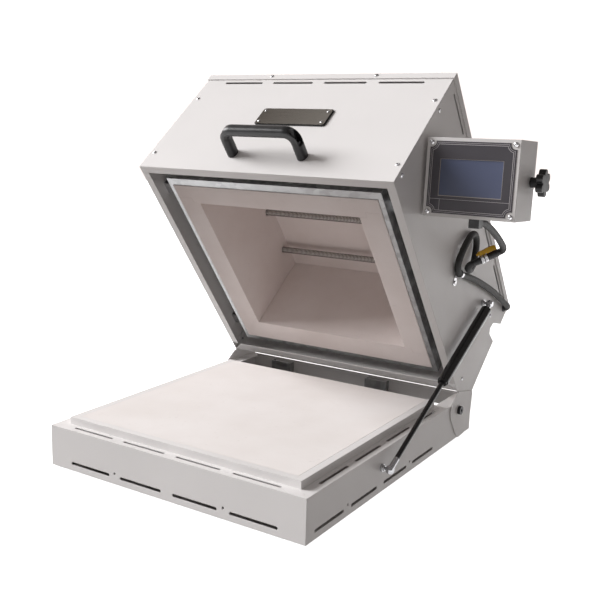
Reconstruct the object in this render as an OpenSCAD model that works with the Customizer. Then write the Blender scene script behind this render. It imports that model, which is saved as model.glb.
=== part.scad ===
// Bead annealing kiln: a fibre-lined lid that opens on two rear hinge bolts over a flat hearth, held by one gas
// strut, with a tilting controller box on its right side. Millimetres, +X right, +Y rear, +Z up. The origin is on
// the underside of the base's floor plate, at its middle. The lid stands open, as it does when work goes in.

/* [Sheet metal] */
// Thickness of the folded panels
sheet_t = 1.6; // [1.2:0.1:2]
// Gap in a seam between fixed pieces
seam = 0.2; // [0.1:0.05:0.3]
// Width of the foot folded in along the bottom of each base wall
foot_fold = 12; // [8:1:16]
// Gap left between panels that pass each other
panel_gap = 0.3; // [0.2:0.1:0.6]
// Length of a cooling slot
slot_l = 80; // [60:1:84]
// Width of a cooling slot
slot_w = 5; // [3:0.5:7]
// Distance from one cooling slot to the next
slot_pitch = 101.5; // [94:0.5:106]
// Distance between slots along the lid's sides
wall_slot_pitch = 126; // [118:1:128]

/* [Base] */
// Height of the base walls
base_h = 66; // [60:1:74]
// Width of the flange round the top of the base
flange_w = 21; // [16:1:24]
// Height of the hearth step above the flange
step_h = 12; // [8:1:16]
// Width of the lip that frames the hearth board
lip_w = 12; // [8:1:14]
// Distance of the hearth's rear edge behind the shut casing
hearth_margin = 6; // [3:0.5:10]
// Thickness of the hearth board
hearth_t = 25; // [18:1:32]
// Height of the slots above the base's underside
low_slot_z = 12; // [9:1:20]
// Distance the front flange slots lie left of the middle
front_slot_shift = 3; // [0:1:5]
// Diameter of a rubber foot
foot_d = 22; // [16:1:30]
// Height of a rubber foot below the floor plate
foot_h = 2.5; // [2:0.5:4]
// Distance of a foot from the base's edges
foot_inset = 24; // [23:1:26]
// Radius of the plain rivet holes in the base walls
rivet_hole_r = 2; // [1.5:0.25:3]
// Distance of the left channel post from the middle
left_post_x = 160; // [120:1:180]
// Distance of the right channel post from the middle
right_post_x = 52; // [40:1:100]
// Width of a channel post in the rear compartment
post_w = 44; // [30:1:60]
// Depth of a channel post
post_d = 14; // [10:1:24]

/* [Hinge] */
// Distance of the hinge bolts behind the lid's shell
pivot_back = 32.4; // [28:0.2:36]
// Distance of the hinge bolts from the base's rear edge
pivot_from_rear = 60.6; // [58:0.2:64]
// Height of the hinge bolts
pivot_z = 51.3; // [48:0.1:54]
// Angle of the open lid
open_angle = 52.5; // [48:0.5:56]
// Radius of a hinge bolt's shoulder
bolt_r = 5; // [4:0.25:6]
// Wall of a hinge bush
bush_wall = 2; // [1.5:0.25:3]
// Running clearance on a hinge bolt
bolt_play = 0.05; // [0.03:0.01:0.1]

/* [Lid shell] */
// Distance of the shut lid behind the base's front face
lid_inset = 2; // [1:0.5:4]
// Depth of the wings behind the shell
wing_d = 56; // [50:1:60]
// Gap between the shut lid's rim and the base's flange
rim_gap = 1.6; // [1:0.2:3]
// Width of the rim at the front and sides
rim_w = 12; // [9:1:14]
// Width of the rim at the rear
rear_rim_w = 18; // [12:1:20]
// Drop of the top panel's edge over the sides
top_fold = 13; // [10:1:16]
// Distance of the lid's slots below its top
top_slot_drop = 22; // [19:1:30]
// Height at which a wing's rear edge meets the hinge ear
wing_edge = 41; // [36:1:48]
// Lower end of the notch in a wing
notch_low = 165; // [155:1:175]
// Height of the notch in a wing
notch_h = 44; // [36:1:50]
// Depth of the notch in a wing
notch_d = 35; // [28:1:38]
// Radius of a panel screw's head
screw_head_r = 3.4; // [3:0.1:4.5]
// Height of a panel screw's head
screw_head_h = 1.8; // [1.2:0.1:2.6]
// Radius of a panel screw's shank
screw_r = 2; // [1.5:0.1:2.5]

/* [Chamber] */
// Width of the chamber's mouth
mouth_w = 305; // [290:1:315]
// Depth of the chamber's mouth, front to rear
mouth_d = 304; // [290:1:312]
// Distance of the chamber's mouth behind the lid's front
mouth_y = 86; // [82:1:92]
// Distance from the lid's rim to the chamber's ceiling
ceiling_b = 173; // [160:1:185]
// Gap between the shut chamber and the hearth board
hearth_gap = 0.4; // [0.3:0.1:1]
// Thickness of the front fibre wall
fibre_front_t = 38; // [32:1:42]
// Thickness of the rear fibre wall
fibre_rear_t = 45; // [38:1:48]
// Thickness of the side fibre walls
fibre_side_t = 41; // [36:1:44]
// Thickness of the ceiling board
ceiling_t = 38; // [25:1:42]
// Reach of the stepped joint past the mouth's corner
joint_reach = 13; // [8:1:18]
// Depth of the stepped joint
joint_step = 11; // [7:1:16]
// Thickness of the galvanised casing
casing_t = 1.2; // [0.8:0.1:1.6]
// Distance from the front fibre wall to the casing's front
casing_front_gap = 14; // [8:1:18]
// Distance from the rear fibre wall to the casing's rear
casing_rear_gap = 11; // [8:1:16]
// Distance from a side fibre wall to the casing's side
casing_side_gap = 8.5; // [6:0.5:12]
// Air space between the casing and the shell's rear
shell_rear_gap = 29; // [22:1:36]
// Air space between the casing and the shell's sides
shell_side_gap = 34; // [28:1:40]
// Air space between the casing and the lid's top
roof_gap = 21.8; // [16:0.5:40]
// Height of the blanket above the ceiling board
blanket_t = 22; // [12:1:26]

/* [Heating coils] */
// Number of curls in one heating coil
curls = 28; // [16:1:28]
// Radius of a coil to the middle of its wire
coil_r = 5.2; // [4.6:0.1:6.5]
// Radius of the heating wire
wire_r = 0.8; // [0.6:0.05:1]
// Drop of the coils below the ceiling
coil_drop = 16.5; // [14:0.5:22]
// Distance from one coil to the next
coil_pitch = 98.5; // [90:0.5:104]
// Radius of the ceramic rod inside a coil
rod_core_r = 3.8; // [3:0.1:4]
// Clearance between a coil and its hole or rod
coil_play = 0.5; // [0.3:0.1:0.8]
// Depth of the hole in the wall that holds a coil's end
coil_hole_l = 14; // [10:1:20]

/* [Gas strut] */
// Distance of the lower ball behind the base's front
strut_low_y = 216.2; // [205:0.2:226]
// Height of the lower ball
strut_low_z = 39.2; // [36:0.2:44]
// Distance of the upper ball behind the lid's front
strut_up_y = 419; // [413:1:426]
// Height of the upper ball above the lid's rim
strut_up_z = 159; // [153:1:165]
// Distance of the balls from the sides
ball_out = 14; // [13.5:0.5:18]
// Radius of a ball
ball_r = 4.5; // [4:0.25:5]
// Gap between a ball and its socket
ball_play = 0.3; // [0.2:0.05:0.4]
// Radius of a socket
socket_r = 7; // [6.5:0.25:7.5]
// Width of a socket between its flat sides
socket_w = 11; // [10:0.5:12]
// Radius of the necks between the sockets and the rod or tube
neck_r = 4.4; // [4:0.1:5]
// Length from a ball to the end of its neck
neck_l = 24; // [18:1:28]
// Radius of the strut's rod
rod_r = 4; // [3:0.25:5]
// Radius of the strut's tube
tube_r = 9; // [7.5:0.25:10]
// Length of the strut's tube
tube_l = 217; // [214:1:222]
// Length of rod inside the tube with the lid open
rod_in = 34; // [26:1:37]
// Wall of the strut's tube
tube_wall = 1.5; // [1:0.1:2]
// Length of the collar at the tube's rod end
collar_l = 4; // [3:0.5:6]
// Running clearance of the rod in the tube's guide
rod_play = 0.05; // [0.03:0.01:0.1]

/* [Controller] */
// Width of the controller box
ctl_w = 139; // [130:1:150]
// Height of the controller box
ctl_h = 115; // [105:1:125]
// Depth of the controller box
ctl_d = 72; // [66:1:84]
// Distance of the tilt axis behind the controller's face
axis_back = 55; // [48:1:58]
// Height of the tilt axis above the middle of the box
axis_up = -1; // [-6:1:6]
// Distance of the tilt axis behind the lid's front
axis_y = 89.7; // [84:0.5:95]
// Height of the tilt axis above the lid's rim
axis_z = 116.2; // [110:0.5:122]
// Lean of the controller's face from upright
lean = 3.3; // [0:0.1:6]
// Gap between the lid's side and the box
ctl_gap = 6.5; // [5:0.5:10]
// Wall of the box
ctl_t = 2; // [1.5:0.1:3]
// Width of the touch screen's lit area
screen_w = 95; // [90:1:100]
// Height of the touch screen's lit area
screen_h = 54; // [50:1:58]
// Radius of the tilt stud
stud_r = 4; // [3:0.25:5]
// Running clearance of the tilt stud in the box and knob
stud_play = 0.08; // [0.05:0.01:0.1]
// Radius of the star knob at its lobes
knob_r = 20; // [17:0.5:24]
// Thickness of the star knob
knob_t = 10; // [8:1:12]
// Length of the star knob's hub
hub_l = 12; // [9:1:15]
// Radius of the star knob's hub
hub_r = 7.5; // [6.5:0.25:9]

/* [Handle and plate] */
// Distance between the middles of the handle's feet
handle_span = 131; // [118:1:139]
// Height of the handle above the lid's rim
handle_z = 43; // [38:1:48]
// Reach of the middle of the handle's bar in front of the panel
handle_reach = 48; // [44:1:54]
// Height of the handle's bar and legs
bar_h = 20.4; // [18.4:0.2:22]
// Thickness of the handle's bar and legs
bar_t = 16.6; // [15.4:0.2:18]
// Radius of the corners between the legs and the bar, along the middle
corner_r = 17; // [14:0.5:20]
// Radius of the screw's well in a leg
well_r = 6.4; // [5.5:0.1:6.8]
// Depth of material under the screw's head in a leg
well_floor = 26; // [20:1:28]
// Radius of the screws in the handle's legs
leg_screw_r = 2.9; // [2.4:0.1:3.2]
// Width of the nameplate
plate_w = 131; // [120:1:140]
// Height of the nameplate
plate_h = 39; // [30:1:44]
// Thickness of the nameplate's black backing
backing_t = 2.2; // [1:0.2:3]
// Height of the nameplate's middle above the rim
plate_z = 139; // [132:1:146]

/* [Lead] */
// Radius of the braided lead
lead_r = 5.5; // [4.5:0.25:6]
// Radius of the plug
plug_r = 6.2; // [5.5:0.1:7]
// Radius of the coupling rings
ring_r = 7; // [6.5:0.1:8]
// Width of the hood under the controller
hood_w = 16; // [13:1:20]
// Height of the hood
hood_h = 15; // [13:1:18]

/* [Rear box] */
// Width of the relay cover
relay_w = 300; // [240:5:340]
// Height of the relay cover
relay_h = 92; // [80:1:100]
// Depth of the relay cover
relay_d = 46; // [40:1:50]
// Height of the relay cover above the rim
relay_z = 58; // [52:1:64]

/* [Hidden] */
$fn = 48;
eps = 0.01;

// Places in the base's frame
fibre_x = mouth_w / 2 + fibre_side_t;
casing_x = fibre_x + casing_side_gap;
half_w = casing_x + shell_side_gap;
fibre_y0 = mouth_y - fibre_front_t;
fibre_y1 = mouth_y + mouth_d + fibre_rear_t;
casing_y = fibre_y0 - casing_front_gap;
casing_y1 = fibre_y1 + casing_rear_gap;
lid_d = casing_y1 + shell_rear_gap;
base_d = lid_inset + lid_d + pivot_back + pivot_from_rear;
front_y = -base_d / 2;
rear_y = base_d / 2;
step_x = half_w - flange_w - panel_gap;
platform_front = front_y + flange_w + panel_gap;
platform_rear = front_y + lid_inset + casing_y1 + hearth_margin;
platform_z = base_h + step_h;
board_x = step_x - lip_w - panel_gap;
wall_x = half_w - sheet_t;
pivot_y = rear_y - pivot_from_rear;

// Places in the lid's own frame, whose origin is the lower front edge of the shell
pivot_a = pivot_y - (front_y + lid_inset);
pivot_b = pivot_z - (base_h + rim_gap);
recess = platform_z + hearth_gap - (base_h + rim_gap);
wing_y = lid_d + wing_d;
casing_b = recess + 1.2;
casing_top = ceiling_b + ceiling_t + blanket_t + casing_t;
lid_h = casing_top + roof_gap;
coil_b = ceiling_b - coil_drop;
coil_ys = [for (i = [-1:1]) mouth_y + mouth_d / 2 + i * coil_pitch];
coil_hole_r = coil_r + wire_r + coil_play;
ear_in = half_w + panel_gap;
ear_out = ear_in + sheet_t;
screw_zs = [25, lid_h - 80];
screw_edge = 9.5;
ball_x = half_w + ball_out;

// Places of the strut with the lid open
function lid_point(a, b) = [pivot_y + (a - pivot_a) * cos(open_angle) + (b - pivot_b) * sin(open_angle),
    pivot_z - (a - pivot_a) * sin(open_angle) + (b - pivot_b) * cos(open_angle)];
low = [front_y + strut_low_y, strut_low_z];
high = lid_point(strut_up_y, strut_up_z);
strut_l = norm(high - low);
strut_angle = atan2(high[1] - low[1], high[0] - low[0]);
shut_high = [front_y + lid_inset + strut_up_y, base_h + rim_gap + strut_up_z];
strut_shut_l = norm(shut_high - low);
strut_shut_angle = atan2(shut_high[1] - low[1], shut_high[0] - low[0]);
echo(pivot = [0, pivot_y, pivot_z], low = [ball_x, low[0], low[1]], high = high);
echo(open_l = strut_l, shut_l = strut_shut_l, open_angle = strut_angle, shut_angle = strut_shut_angle);

// Places of the controller
ctl_x0 = half_w + ctl_gap;
ctl_x1 = ctl_x0 + ctl_w;
ctl_axis = lid_point(axis_y, axis_z);
echo(controller_axis = ctl_axis, slide = strut_shut_l - strut_l);

// Puts a piece of the shut lid where the open lid holds it
module in_lid() {
    translate([0, pivot_y, pivot_z]) rotate([-open_angle, 0, 0]) translate([0, -pivot_a, -pivot_b]) children();
}

// A round bar along X from x0 to x1 at the given y and z
module bar_x(x0, x1, y, z, r, fn = 48) {
    translate([x0, y, z]) rotate([0, 90, 0]) cylinder(r = r, h = x1 - x0, $fn = fn);
}

// A round bar along Y from y0 to y1 at the given x and z
module bar_y(y0, y1, x, z, r, fn = 48) {
    translate([x, y1, z]) rotate([90, 0, 0]) cylinder(r = r, h = y1 - y0, $fn = fn);
}

// A box between two corners
module block(low_corner, high_corner) {
    translate(low_corner) cube(high_corner - low_corner);
}

// A rectangle in the plane with round corners
module round_rect(w, h, r) {
    union() {
        square([w - 2 * r, h], center = true);
        square([w, h - 2 * r], center = true);
        for (x = [-1, 1], y = [-1, 1]) translate([x * (w / 2 - r), y * (h / 2 - r)]) circle(r = r, $fn = 24);
    }
}

// The same piece on the right and, mirrored, on the left
module both_sides() {
    children();
    mirror([1, 0, 0]) children();
}

// The outline of a slot with round ends, along the first axis
module slot_outline(l) {
    union() {
        square([l - slot_w, slot_w], center = true);
        for (s = [-1, 1]) translate([s * (l - slot_w) / 2, 0]) circle(d = slot_w, $fn = 20);
    }
}

// Cutters for a row of slots through a wall that faces the front
module front_slots(n, pitch, y, z, shift = 0) {
    for (i = [0:n - 1]) translate([(i - (n - 1) / 2) * pitch - shift, y + 3, z]) rotate([90, 0, 0])
        linear_extrude(6) slot_outline(slot_l);
}

// Cutters for a row of slots through a wall that faces a side
module side_slots(n, pitch, x, y0, z) {
    for (i = [0:n - 1]) translate([x - 3, y0 + slot_l / 2 + i * pitch, z]) rotate([90, 0, 90])
        linear_extrude(6) slot_outline(slot_l);
}

// A flat strip along X whose ends are cut at 45 degrees, narrower towards the rear
module mitred_strip(half_l, y, w, z0, z1) {
    translate([0, 0, z0]) linear_extrude(z1 - z0)
        polygon([[-half_l, y], [half_l, y], [half_l - w, y + w], [-half_l + w, y + w]]);
}

// A flat strip along Y at the right, its front end cut at 45 degrees
module side_strip(x, y, w, y1, z0, z1) {
    translate([0, 0, z0]) linear_extrude(z1 - z0) polygon([[x, y], [x, y1], [x - w, y1], [x - w, y + w]]);
}

// Unit vector
function unit(v) = v / norm(v);
// Directions along a line of points
function directions(p) = [for (i = [0:len(p) - 1]) unit(p[min(i + 1, len(p) - 1)] - p[max(i - 1, 0)])];
// Side vectors carried along without twist
function carried(t, n0) = [for (i = 0, n = unit(n0 - (n0 * t[0]) * t[0]); i < len(t);
    i = i + 1, n = i < len(t) ? unit(n - (n * t[i]) * t[i]) : n) n];
// One point of a smooth curve through four points
function smooth_point(a, b, c, d, s) = 0.5 * (2 * b + (c - a) * s + (2 * a - 5 * b + 4 * c - d) * s * s
    + (3 * b - a - 3 * c + d) * s * s * s);
// A smooth curve through chosen points, with k steps from each to the next
function smooth(p, k) = concat([for (i = [0:len(p) - 2], j = [0:k - 1]) smooth_point(p[max(i - 1, 0)], p[i],
    p[i + 1], p[min(i + 2, len(p) - 1)], j / k)], [p[len(p) - 1]]);

// A closed tube of radius r along a line of points, its sides set out from given side vectors
module tube_along(p, n, t, r, sides) {
    k = len(p);
    points = [for (i = [0:k - 1], s = [0:sides - 1])
        p[i] + r * (cos(360 * s / sides) * n[i] + sin(360 * s / sides) * cross(t[i], n[i]))];
    skin = [for (i = [0:k - 2], s = [0:sides - 1], h = [0, 1]) let (e = (s + 1) % sides)
        h == 0 ? [i * sides + s, (i + 1) * sides + s, (i + 1) * sides + e]
        : [i * sides + s, (i + 1) * sides + e, i * sides + e]];
    start = [for (s = [1:sides - 2]) [0, s, s + 1]];
    finish = [for (s = [1:sides - 2]) [(k - 1) * sides, (k - 1) * sides + s + 1, (k - 1) * sides + s]];
    polyhedron(points = points, faces = concat(skin, start, finish), convexity = 10);
}

// Least gap between stretches of the lead that lie more than three diameters apart along it
function lead_gap(q) = min([for (i = [0:len(q) - 12], j = [i + 11:len(q) - 1]) norm(q[i] - q[j])]) - 2 * lead_r;

// A flexible lead along chosen points
module lead_along(p, r, sides, steps) {
    q = smooth(p, steps);
    t = directions(q);
    tube_along(q, carried(t, [1, 0.2, 0.1]), t, r, sides);
}

// Base front: wall, flange, step and lip folded from one sheet, mitred at both ends
module base_front_panel() {
    color("whitesmoke") difference() {
        union() {
            block([-half_w, front_y, 0], [half_w, front_y + sheet_t, base_h]);
            mitred_strip(half_w, front_y, flange_w + panel_gap + sheet_t, base_h - sheet_t, base_h);
            mitred_strip(step_x, platform_front, sheet_t, base_h - sheet_t, platform_z);
            mitred_strip(step_x, platform_front, lip_w, platform_z - sheet_t, platform_z);
            block([-half_w + 14, front_y, sheet_t], [half_w - 14, front_y + foot_fold, 2 * sheet_t]);
        }
        front_slots(4, slot_pitch, front_y, low_slot_z);
        for (x = [-1, 1]) bar_y(front_y - 1, front_y + 3, x * slot_pitch, low_slot_z + 5, rivet_hole_r, 20);
        for (i = [0:3]) translate([(i - 1.5) * slot_pitch - front_slot_shift, front_y + 12.5, base_h - 3])
            linear_extrude(6) slot_outline(slot_l);
    }
}

// Base side: wall with its folded edges. Its flange runs to the rear edge and the step ends with the platform
module base_side() {
    difference() {
        union() {
            block([wall_x, front_y + sheet_t + eps, 0], [half_w, rear_y, base_h]);
            side_strip(half_w, front_y, flange_w + panel_gap + sheet_t, rear_y - flange_w, base_h - sheet_t,
                base_h);
            translate([0, 0, base_h - sheet_t]) linear_extrude(sheet_t) polygon([[half_w, rear_y - flange_w],
                [half_w, rear_y], [half_w - flange_w - 2, rear_y - flange_w - eps]]);
            side_strip(step_x, platform_front, sheet_t, platform_rear, base_h - sheet_t, platform_z);
            side_strip(step_x, platform_front, lip_w, platform_rear, platform_z - sheet_t, platform_z);
            block([half_w - foot_fold, front_y + 14, sheet_t], [half_w, rear_y - 14, 2 * sheet_t]);
        }
        // Clear of the front panel where the two meet on the diagonal
        translate([0, 0, -1]) linear_extrude(platform_z + 2)
            polygon([[half_w + 1, front_y - 1], [half_w - 40, front_y - 1], [half_w - 40, front_y + 40 + 0.05],
                [half_w, front_y + 0.05], [half_w + 1, front_y]]);
        side_slots(4, slot_pitch, half_w, front_y + 22.5, low_slot_z);
        for (i = [0, 2]) bar_x(half_w - 4, half_w + 1, front_y + 114 + i * slot_pitch, low_slot_z + 5,
            rivet_hole_r, 20);
        for (i = [0:3]) translate([half_w - 12, front_y + 92.5 + i * slot_pitch, base_h - 3])
            linear_extrude(6) rotate(90) slot_outline(slot_l);
        bar_x(wall_x - 2, half_w + 2, pivot_y, pivot_z, bolt_r - 1 + bolt_play);
    }
}

module base_right_panel() {
    color("whitesmoke") difference() {
        base_side();
        bar_x(wall_x - 2, half_w + 2, low[0], low[1], 4);
    }
}

module base_left_panel() {
    color("whitesmoke") mirror([1, 0, 0]) base_side();
}

// Base rear wall between the side walls, with a row of slots
module base_rear_panel() {
    color("whitesmoke") difference() {
        union() {
            block([-wall_x + 0.1, rear_y - sheet_t, 0], [wall_x - 0.1, rear_y, base_h - sheet_t - 0.1]);
            block([-wall_x + 14, rear_y - foot_fold, sheet_t], [wall_x - 14, rear_y - sheet_t, 2 * sheet_t]);
        }
        front_slots(4, slot_pitch, rear_y - sheet_t, base_h / 2);
    }
}

// Floor plate under the folded feet of the walls
module floor_plate() {
    color("gainsboro") difference() {
        block([-wall_x + seam, front_y + sheet_t + seam, 0], [wall_x - seam, rear_y - sheet_t - seam, sheet_t]);
        for (x = [-1, 1], y = [-1, 1]) translate([x * (half_w - foot_inset), y * (rear_y - foot_inset), -1])
            cylinder(r = 2.5, h = 6);
    }
}

// Rubber feet with a stem pressed through the floor plate
module feet() {
    color("dimgray") for (x = [-1, 1], y = [-1, 1])
        translate([x * (half_w - foot_inset), y * (rear_y - foot_inset), 0]) {
            translate([0, 0, -foot_h]) cylinder(d = foot_d, h = foot_h);
            cylinder(r = 2.4, h = sheet_t + 1.5);
            translate([0, 0, sheet_t]) cylinder(r = 3.6, h = 1.5);
        }
}

// Plate that closes the rear of the hearth
module hearth_back_plate() {
    color("whitesmoke") block([-step_x + sheet_t + seam, platform_rear - sheet_t, sheet_t],
        [step_x - sheet_t - seam, platform_rear, platform_z - sheet_t - seam]);
}

// Hearth board, flush with the lip round it
module hearth_board() {
    color("seashell") block([-board_x, platform_front + lip_w + panel_gap, platform_z - hearth_t],
        [board_x, platform_rear - sheet_t - seam, platform_z]);
}

module hearth_insulation() {
    color("ivory") block([-board_x, platform_front + lip_w + panel_gap, sheet_t],
        [board_x, platform_rear - sheet_t - seam, platform_z - hearth_t]);
}

// Two channel posts that stiffen the rear wall
module rear_posts() {
    color("darkgray") for (x = [-left_post_x, right_post_x]) difference() {
        block([x - post_w / 2, rear_y - sheet_t - post_d, 2 * sheet_t],
            [x + post_w / 2, rear_y - sheet_t, base_h - 6]);
        block([x - post_w / 2 + sheet_t, rear_y - sheet_t - post_d + sheet_t, 0],
            [x + post_w / 2 - sheet_t, rear_y, base_h]);
    }
}

// Shoulder bolts that carry the lid's ears, with their nuts inside the base
module hinge_bolts() {
    color("dimgray") both_sides() difference() {
        union() {
            bar_x(half_w, ear_out + 0.4, pivot_y, pivot_z, bolt_r);
            bar_x(wall_x - 9, half_w, pivot_y, pivot_z, bolt_r - 1);
            bar_x(ear_out + 0.4, ear_out + 5.4, pivot_y, pivot_z, bolt_r + 2.5);
            translate([wall_x - 7, pivot_y, pivot_z]) rotate([0, 90, 0]) cylinder(r = 8, h = 7, $fn = 6);
        }
        translate([ear_out + 2.4, pivot_y, pivot_z]) rotate([0, 90, 0]) cylinder(r = 3.4, h = 4, $fn = 6);
    }
}

// Ball stud at x, y, z on a wall whose outer face is at wall: a flange, a neck and a ball
module ball_stud(wall, y, z, shank) {
    bar_x(wall, wall + 3.5, y, z, 6);
    bar_x(wall + 3.5, wall + 6, y, z, 4.5);
    bar_x(wall + 6, wall + ball_out, y, z, 2.6);
    translate([wall + ball_out, y, z]) sphere(r = ball_r, $fn = 36);
    if (shank > 0) {
        bar_x(wall - shank, wall, y, z, 3.95);
        translate([wall - shank, y, z]) rotate([0, 90, 0]) cylinder(r = 7, h = shank - sheet_t, $fn = 6);
    }
}

module strut_lower_stud() {
    color("silver") ball_stud(half_w, low[0], low[1], 9);
}

// Lid front: wall, rim and the returns that the side screws enter
module lid_front_panel() {
    color("whitesmoke") in_lid() difference() {
        union() {
            block([-half_w, 0, 0], [half_w, sheet_t, lid_h - sheet_t - seam]);
            mitred_strip(half_w - sheet_t, sheet_t, rim_w, 0, sheet_t);
            for (s = [-1, 1]) block([min(s * (wall_x - seam), s * (wall_x - seam - sheet_t)), sheet_t, 20],
                [max(s * (wall_x - seam), s * (wall_x - seam - sheet_t)), 18, lid_h - 20]);
        }
        front_slots(4, slot_pitch, sheet_t, lid_h - top_slot_drop);
        for (x = [-1, 1], z = screw_zs) bar_y(-1, 4, x * (half_w - screw_edge), z + 12, screw_r + 0.1, 20);
        for (x = [-1, 1]) bar_y(-1, 4, x * slot_pitch, lid_h - 5, screw_r + 0.1, 20);
        for (x = [-1, 1]) bar_y(-1, 4, x * handle_span / 2, handle_z, leg_screw_r + 0.1, 20);
        for (x = [-1, 1], z = screw_zs) bar_x(x * half_w - 6, x * half_w + 6, screw_edge, z, screw_r + 0.1, 20);
    }
}

// Outline of a lid side: the shell, the wing with its notch, and the edge that the ear hangs from
module side_outline() {
    difference() {
        polygon([[sheet_t + 0.1, 0], [lid_d + 5, 0], [wing_y, wing_edge], [wing_y, lid_h - sheet_t - seam],
            [sheet_t + 0.1, lid_h - sheet_t - seam]]);
        polygon([[wing_y + 1, notch_low], [wing_y - notch_d + 7, notch_low - 6], [wing_y - notch_d, notch_low + 1],
            [wing_y - notch_d + 3, notch_low + 17], [wing_y + 1, notch_low + notch_h]]);
    }
}

// Corners of the hinge ear round its bolt, from the top of its front edge to the top of its rear edge
ear_points = [[-31, 13], [-33, -14], [-28, -25], [-13, -32], [30, -32], [43, -28], [57, -8], [59, 0], [68, 13]];
// Outline of the hinge ear, which laps over the base's side
module ear_outline() {
    difference() {
        polygon([for (p = ear_points) [pivot_a + p[0], pivot_b + p[1]], [wing_y + 1, wing_edge + 2],
            [wing_y - 3, wing_edge + 2]]);
        translate([pivot_a, pivot_b]) circle(r = bolt_r + bolt_play + bush_wall);
    }
}

// Lid side, right hand: wall, rim, joggle and ear
module lid_side() {
    difference() {
        union() {
            translate([wall_x, 0, 0]) rotate([90, 0, 90]) linear_extrude(sheet_t) side_outline();
            side_strip(wall_x + eps, sheet_t, rim_w, lid_d - rear_rim_w - sheet_t, 0, sheet_t);
            translate([ear_in, 0, 0]) rotate([90, 0, 90]) linear_extrude(sheet_t) ear_outline();
            translate([wall_x, 0, 0]) rotate([90, 0, 90]) linear_extrude(ear_out - wall_x)
                polygon([[lid_d + 1, 0], [lid_d + 5, 0], [wing_y, wing_edge], [wing_y, wing_edge + 3],
                    [wing_y - 3, wing_edge + 3]]);
        }
        // Clear of the front rim where the two meet on the diagonal
        translate([0, 0, -1]) linear_extrude(4) polygon([[wall_x + 1, sheet_t - 1], [wall_x - 30, sheet_t - 1],
            [wall_x - 30, sheet_t + 30.05], [wall_x, sheet_t + 0.05], [wall_x + 1, sheet_t]]);
        side_slots(4, wall_slot_pitch, half_w, 21, lid_h - top_slot_drop);
        for (y = [screw_edge, lid_d - 3.5], z = screw_zs) bar_x(wall_x - 2, half_w + 2, y, z, screw_r + 0.1, 20);
    }
}

module lid_left_panel() {
    color("whitesmoke") in_lid() mirror([1, 0, 0]) lid_side();
}

module lid_right_panel() {
    color("whitesmoke") in_lid() difference() {
        lid_side();
        bar_x(wall_x - 2, half_w + 2, axis_y, axis_z, stud_r + 0.1);
        bar_x(wall_x - 2, half_w + 2, wing_gland_y, wing_gland_z, lead_r + 2.2);
    }
}

// Lid top with its edges folded down over the front and sides
module lid_top_panel() {
    out = panel_gap + sheet_t;
    color("whitesmoke") in_lid() difference() {
        union() {
            block([-half_w - out, -out, lid_h - sheet_t], [half_w + out, wing_y, lid_h]);
            block([-half_w - out, -out, lid_h - top_fold], [half_w + out, -panel_gap, lid_h]);
            for (s = [-1, 1]) block([s < 0 ? -half_w - out : half_w + panel_gap, -out, lid_h - top_fold],
                [s < 0 ? -half_w - panel_gap : half_w + out, wing_y, lid_h]);
            block([-wall_x + seam, wing_y - sheet_t, lid_h - top_fold], [wall_x - seam, wing_y, lid_h]);
        }
        for (x = [-1, 1]) bar_y(-out - 1, 4, x * slot_pitch, lid_h - 5, screw_r + 0.1, 20);
    }
}

// Lid rear wall with its rim, the returns for the side screws and the lead's hole
module lid_rear_panel() {
    color("whitesmoke") in_lid() difference() {
        union() {
            block([-wall_x + seam, lid_d - sheet_t, 0], [wall_x - seam, lid_d, lid_h - sheet_t - seam]);
            translate([0, 2 * lid_d, 0]) mirror([0, 1, 0]) mitred_strip(wall_x - seam, lid_d, rear_rim_w, 0, sheet_t);
            for (s = [-1, 1]) block([s < 0 ? -wall_x + seam : wall_x - seam - sheet_t, lid_d - 14, 20],
                [s < 0 ? -wall_x + seam + sheet_t : wall_x - seam, lid_d - sheet_t, lid_h - 20]);
        }
        for (x = [-1, 1], z = screw_zs) bar_x(x * half_w - 6, x * half_w + 6, lid_d - 3.5, z, screw_r + 0.1, 20);
        bar_y(lid_d - 4, lid_d + 1, gland_x, gland_z, lead_r + 2.6);
    }
}

// Pan-head screw along the direction of the third axis, its head above the origin
module pan_screw(l) {
    union() {
        difference() {
            cylinder(r1 = screw_head_r, r2 = screw_head_r * 0.72, h = screw_head_h, $fn = 24);
            translate([-screw_head_r, -0.35, screw_head_h - 0.7]) cube([2 * screw_head_r, 0.7, 1]);
            translate([-0.35, -screw_head_r, screw_head_h - 0.7]) cube([0.7, 2 * screw_head_r, 1]);
        }
        translate([0, 0, -l]) cylinder(r = screw_r, h = l, $fn = 24);
    }
}

// Screws that hold the lid's panels together
module panel_screws() {
    out = panel_gap + sheet_t;
    color("silver") in_lid() {
        for (x = [-1, 1], z = screw_zs) translate([x * (half_w - screw_edge), 0, z + 12]) rotate([90, 0, 0])
            pan_screw(5);
        for (x = [-1, 1]) translate([x * slot_pitch, -out, lid_h - 5]) rotate([90, 0, 0]) pan_screw(6);
        for (s = [-1, 1], y = [screw_edge, lid_d - 3.5], z = screw_zs) translate([s * half_w, y, z])
            rotate([0, s * 90, 0]) pan_screw(5);
    }
}

// Bushes pressed into the ears, turning on the hinge bolts
module hinge_bushes() {
    color("darkgoldenrod") in_lid() for (s = [-1, 1]) difference() {
        bar_x(s < 0 ? -ear_out : ear_in, s < 0 ? -ear_in : ear_out, pivot_a, pivot_b,
            bolt_r + bolt_play + bush_wall);
        bar_x(s < 0 ? -ear_out - 1 : ear_in - 1, s < 0 ? -ear_in + 1 : ear_out + 1, pivot_a, pivot_b,
            bolt_r + bolt_play);
    }
}

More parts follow.
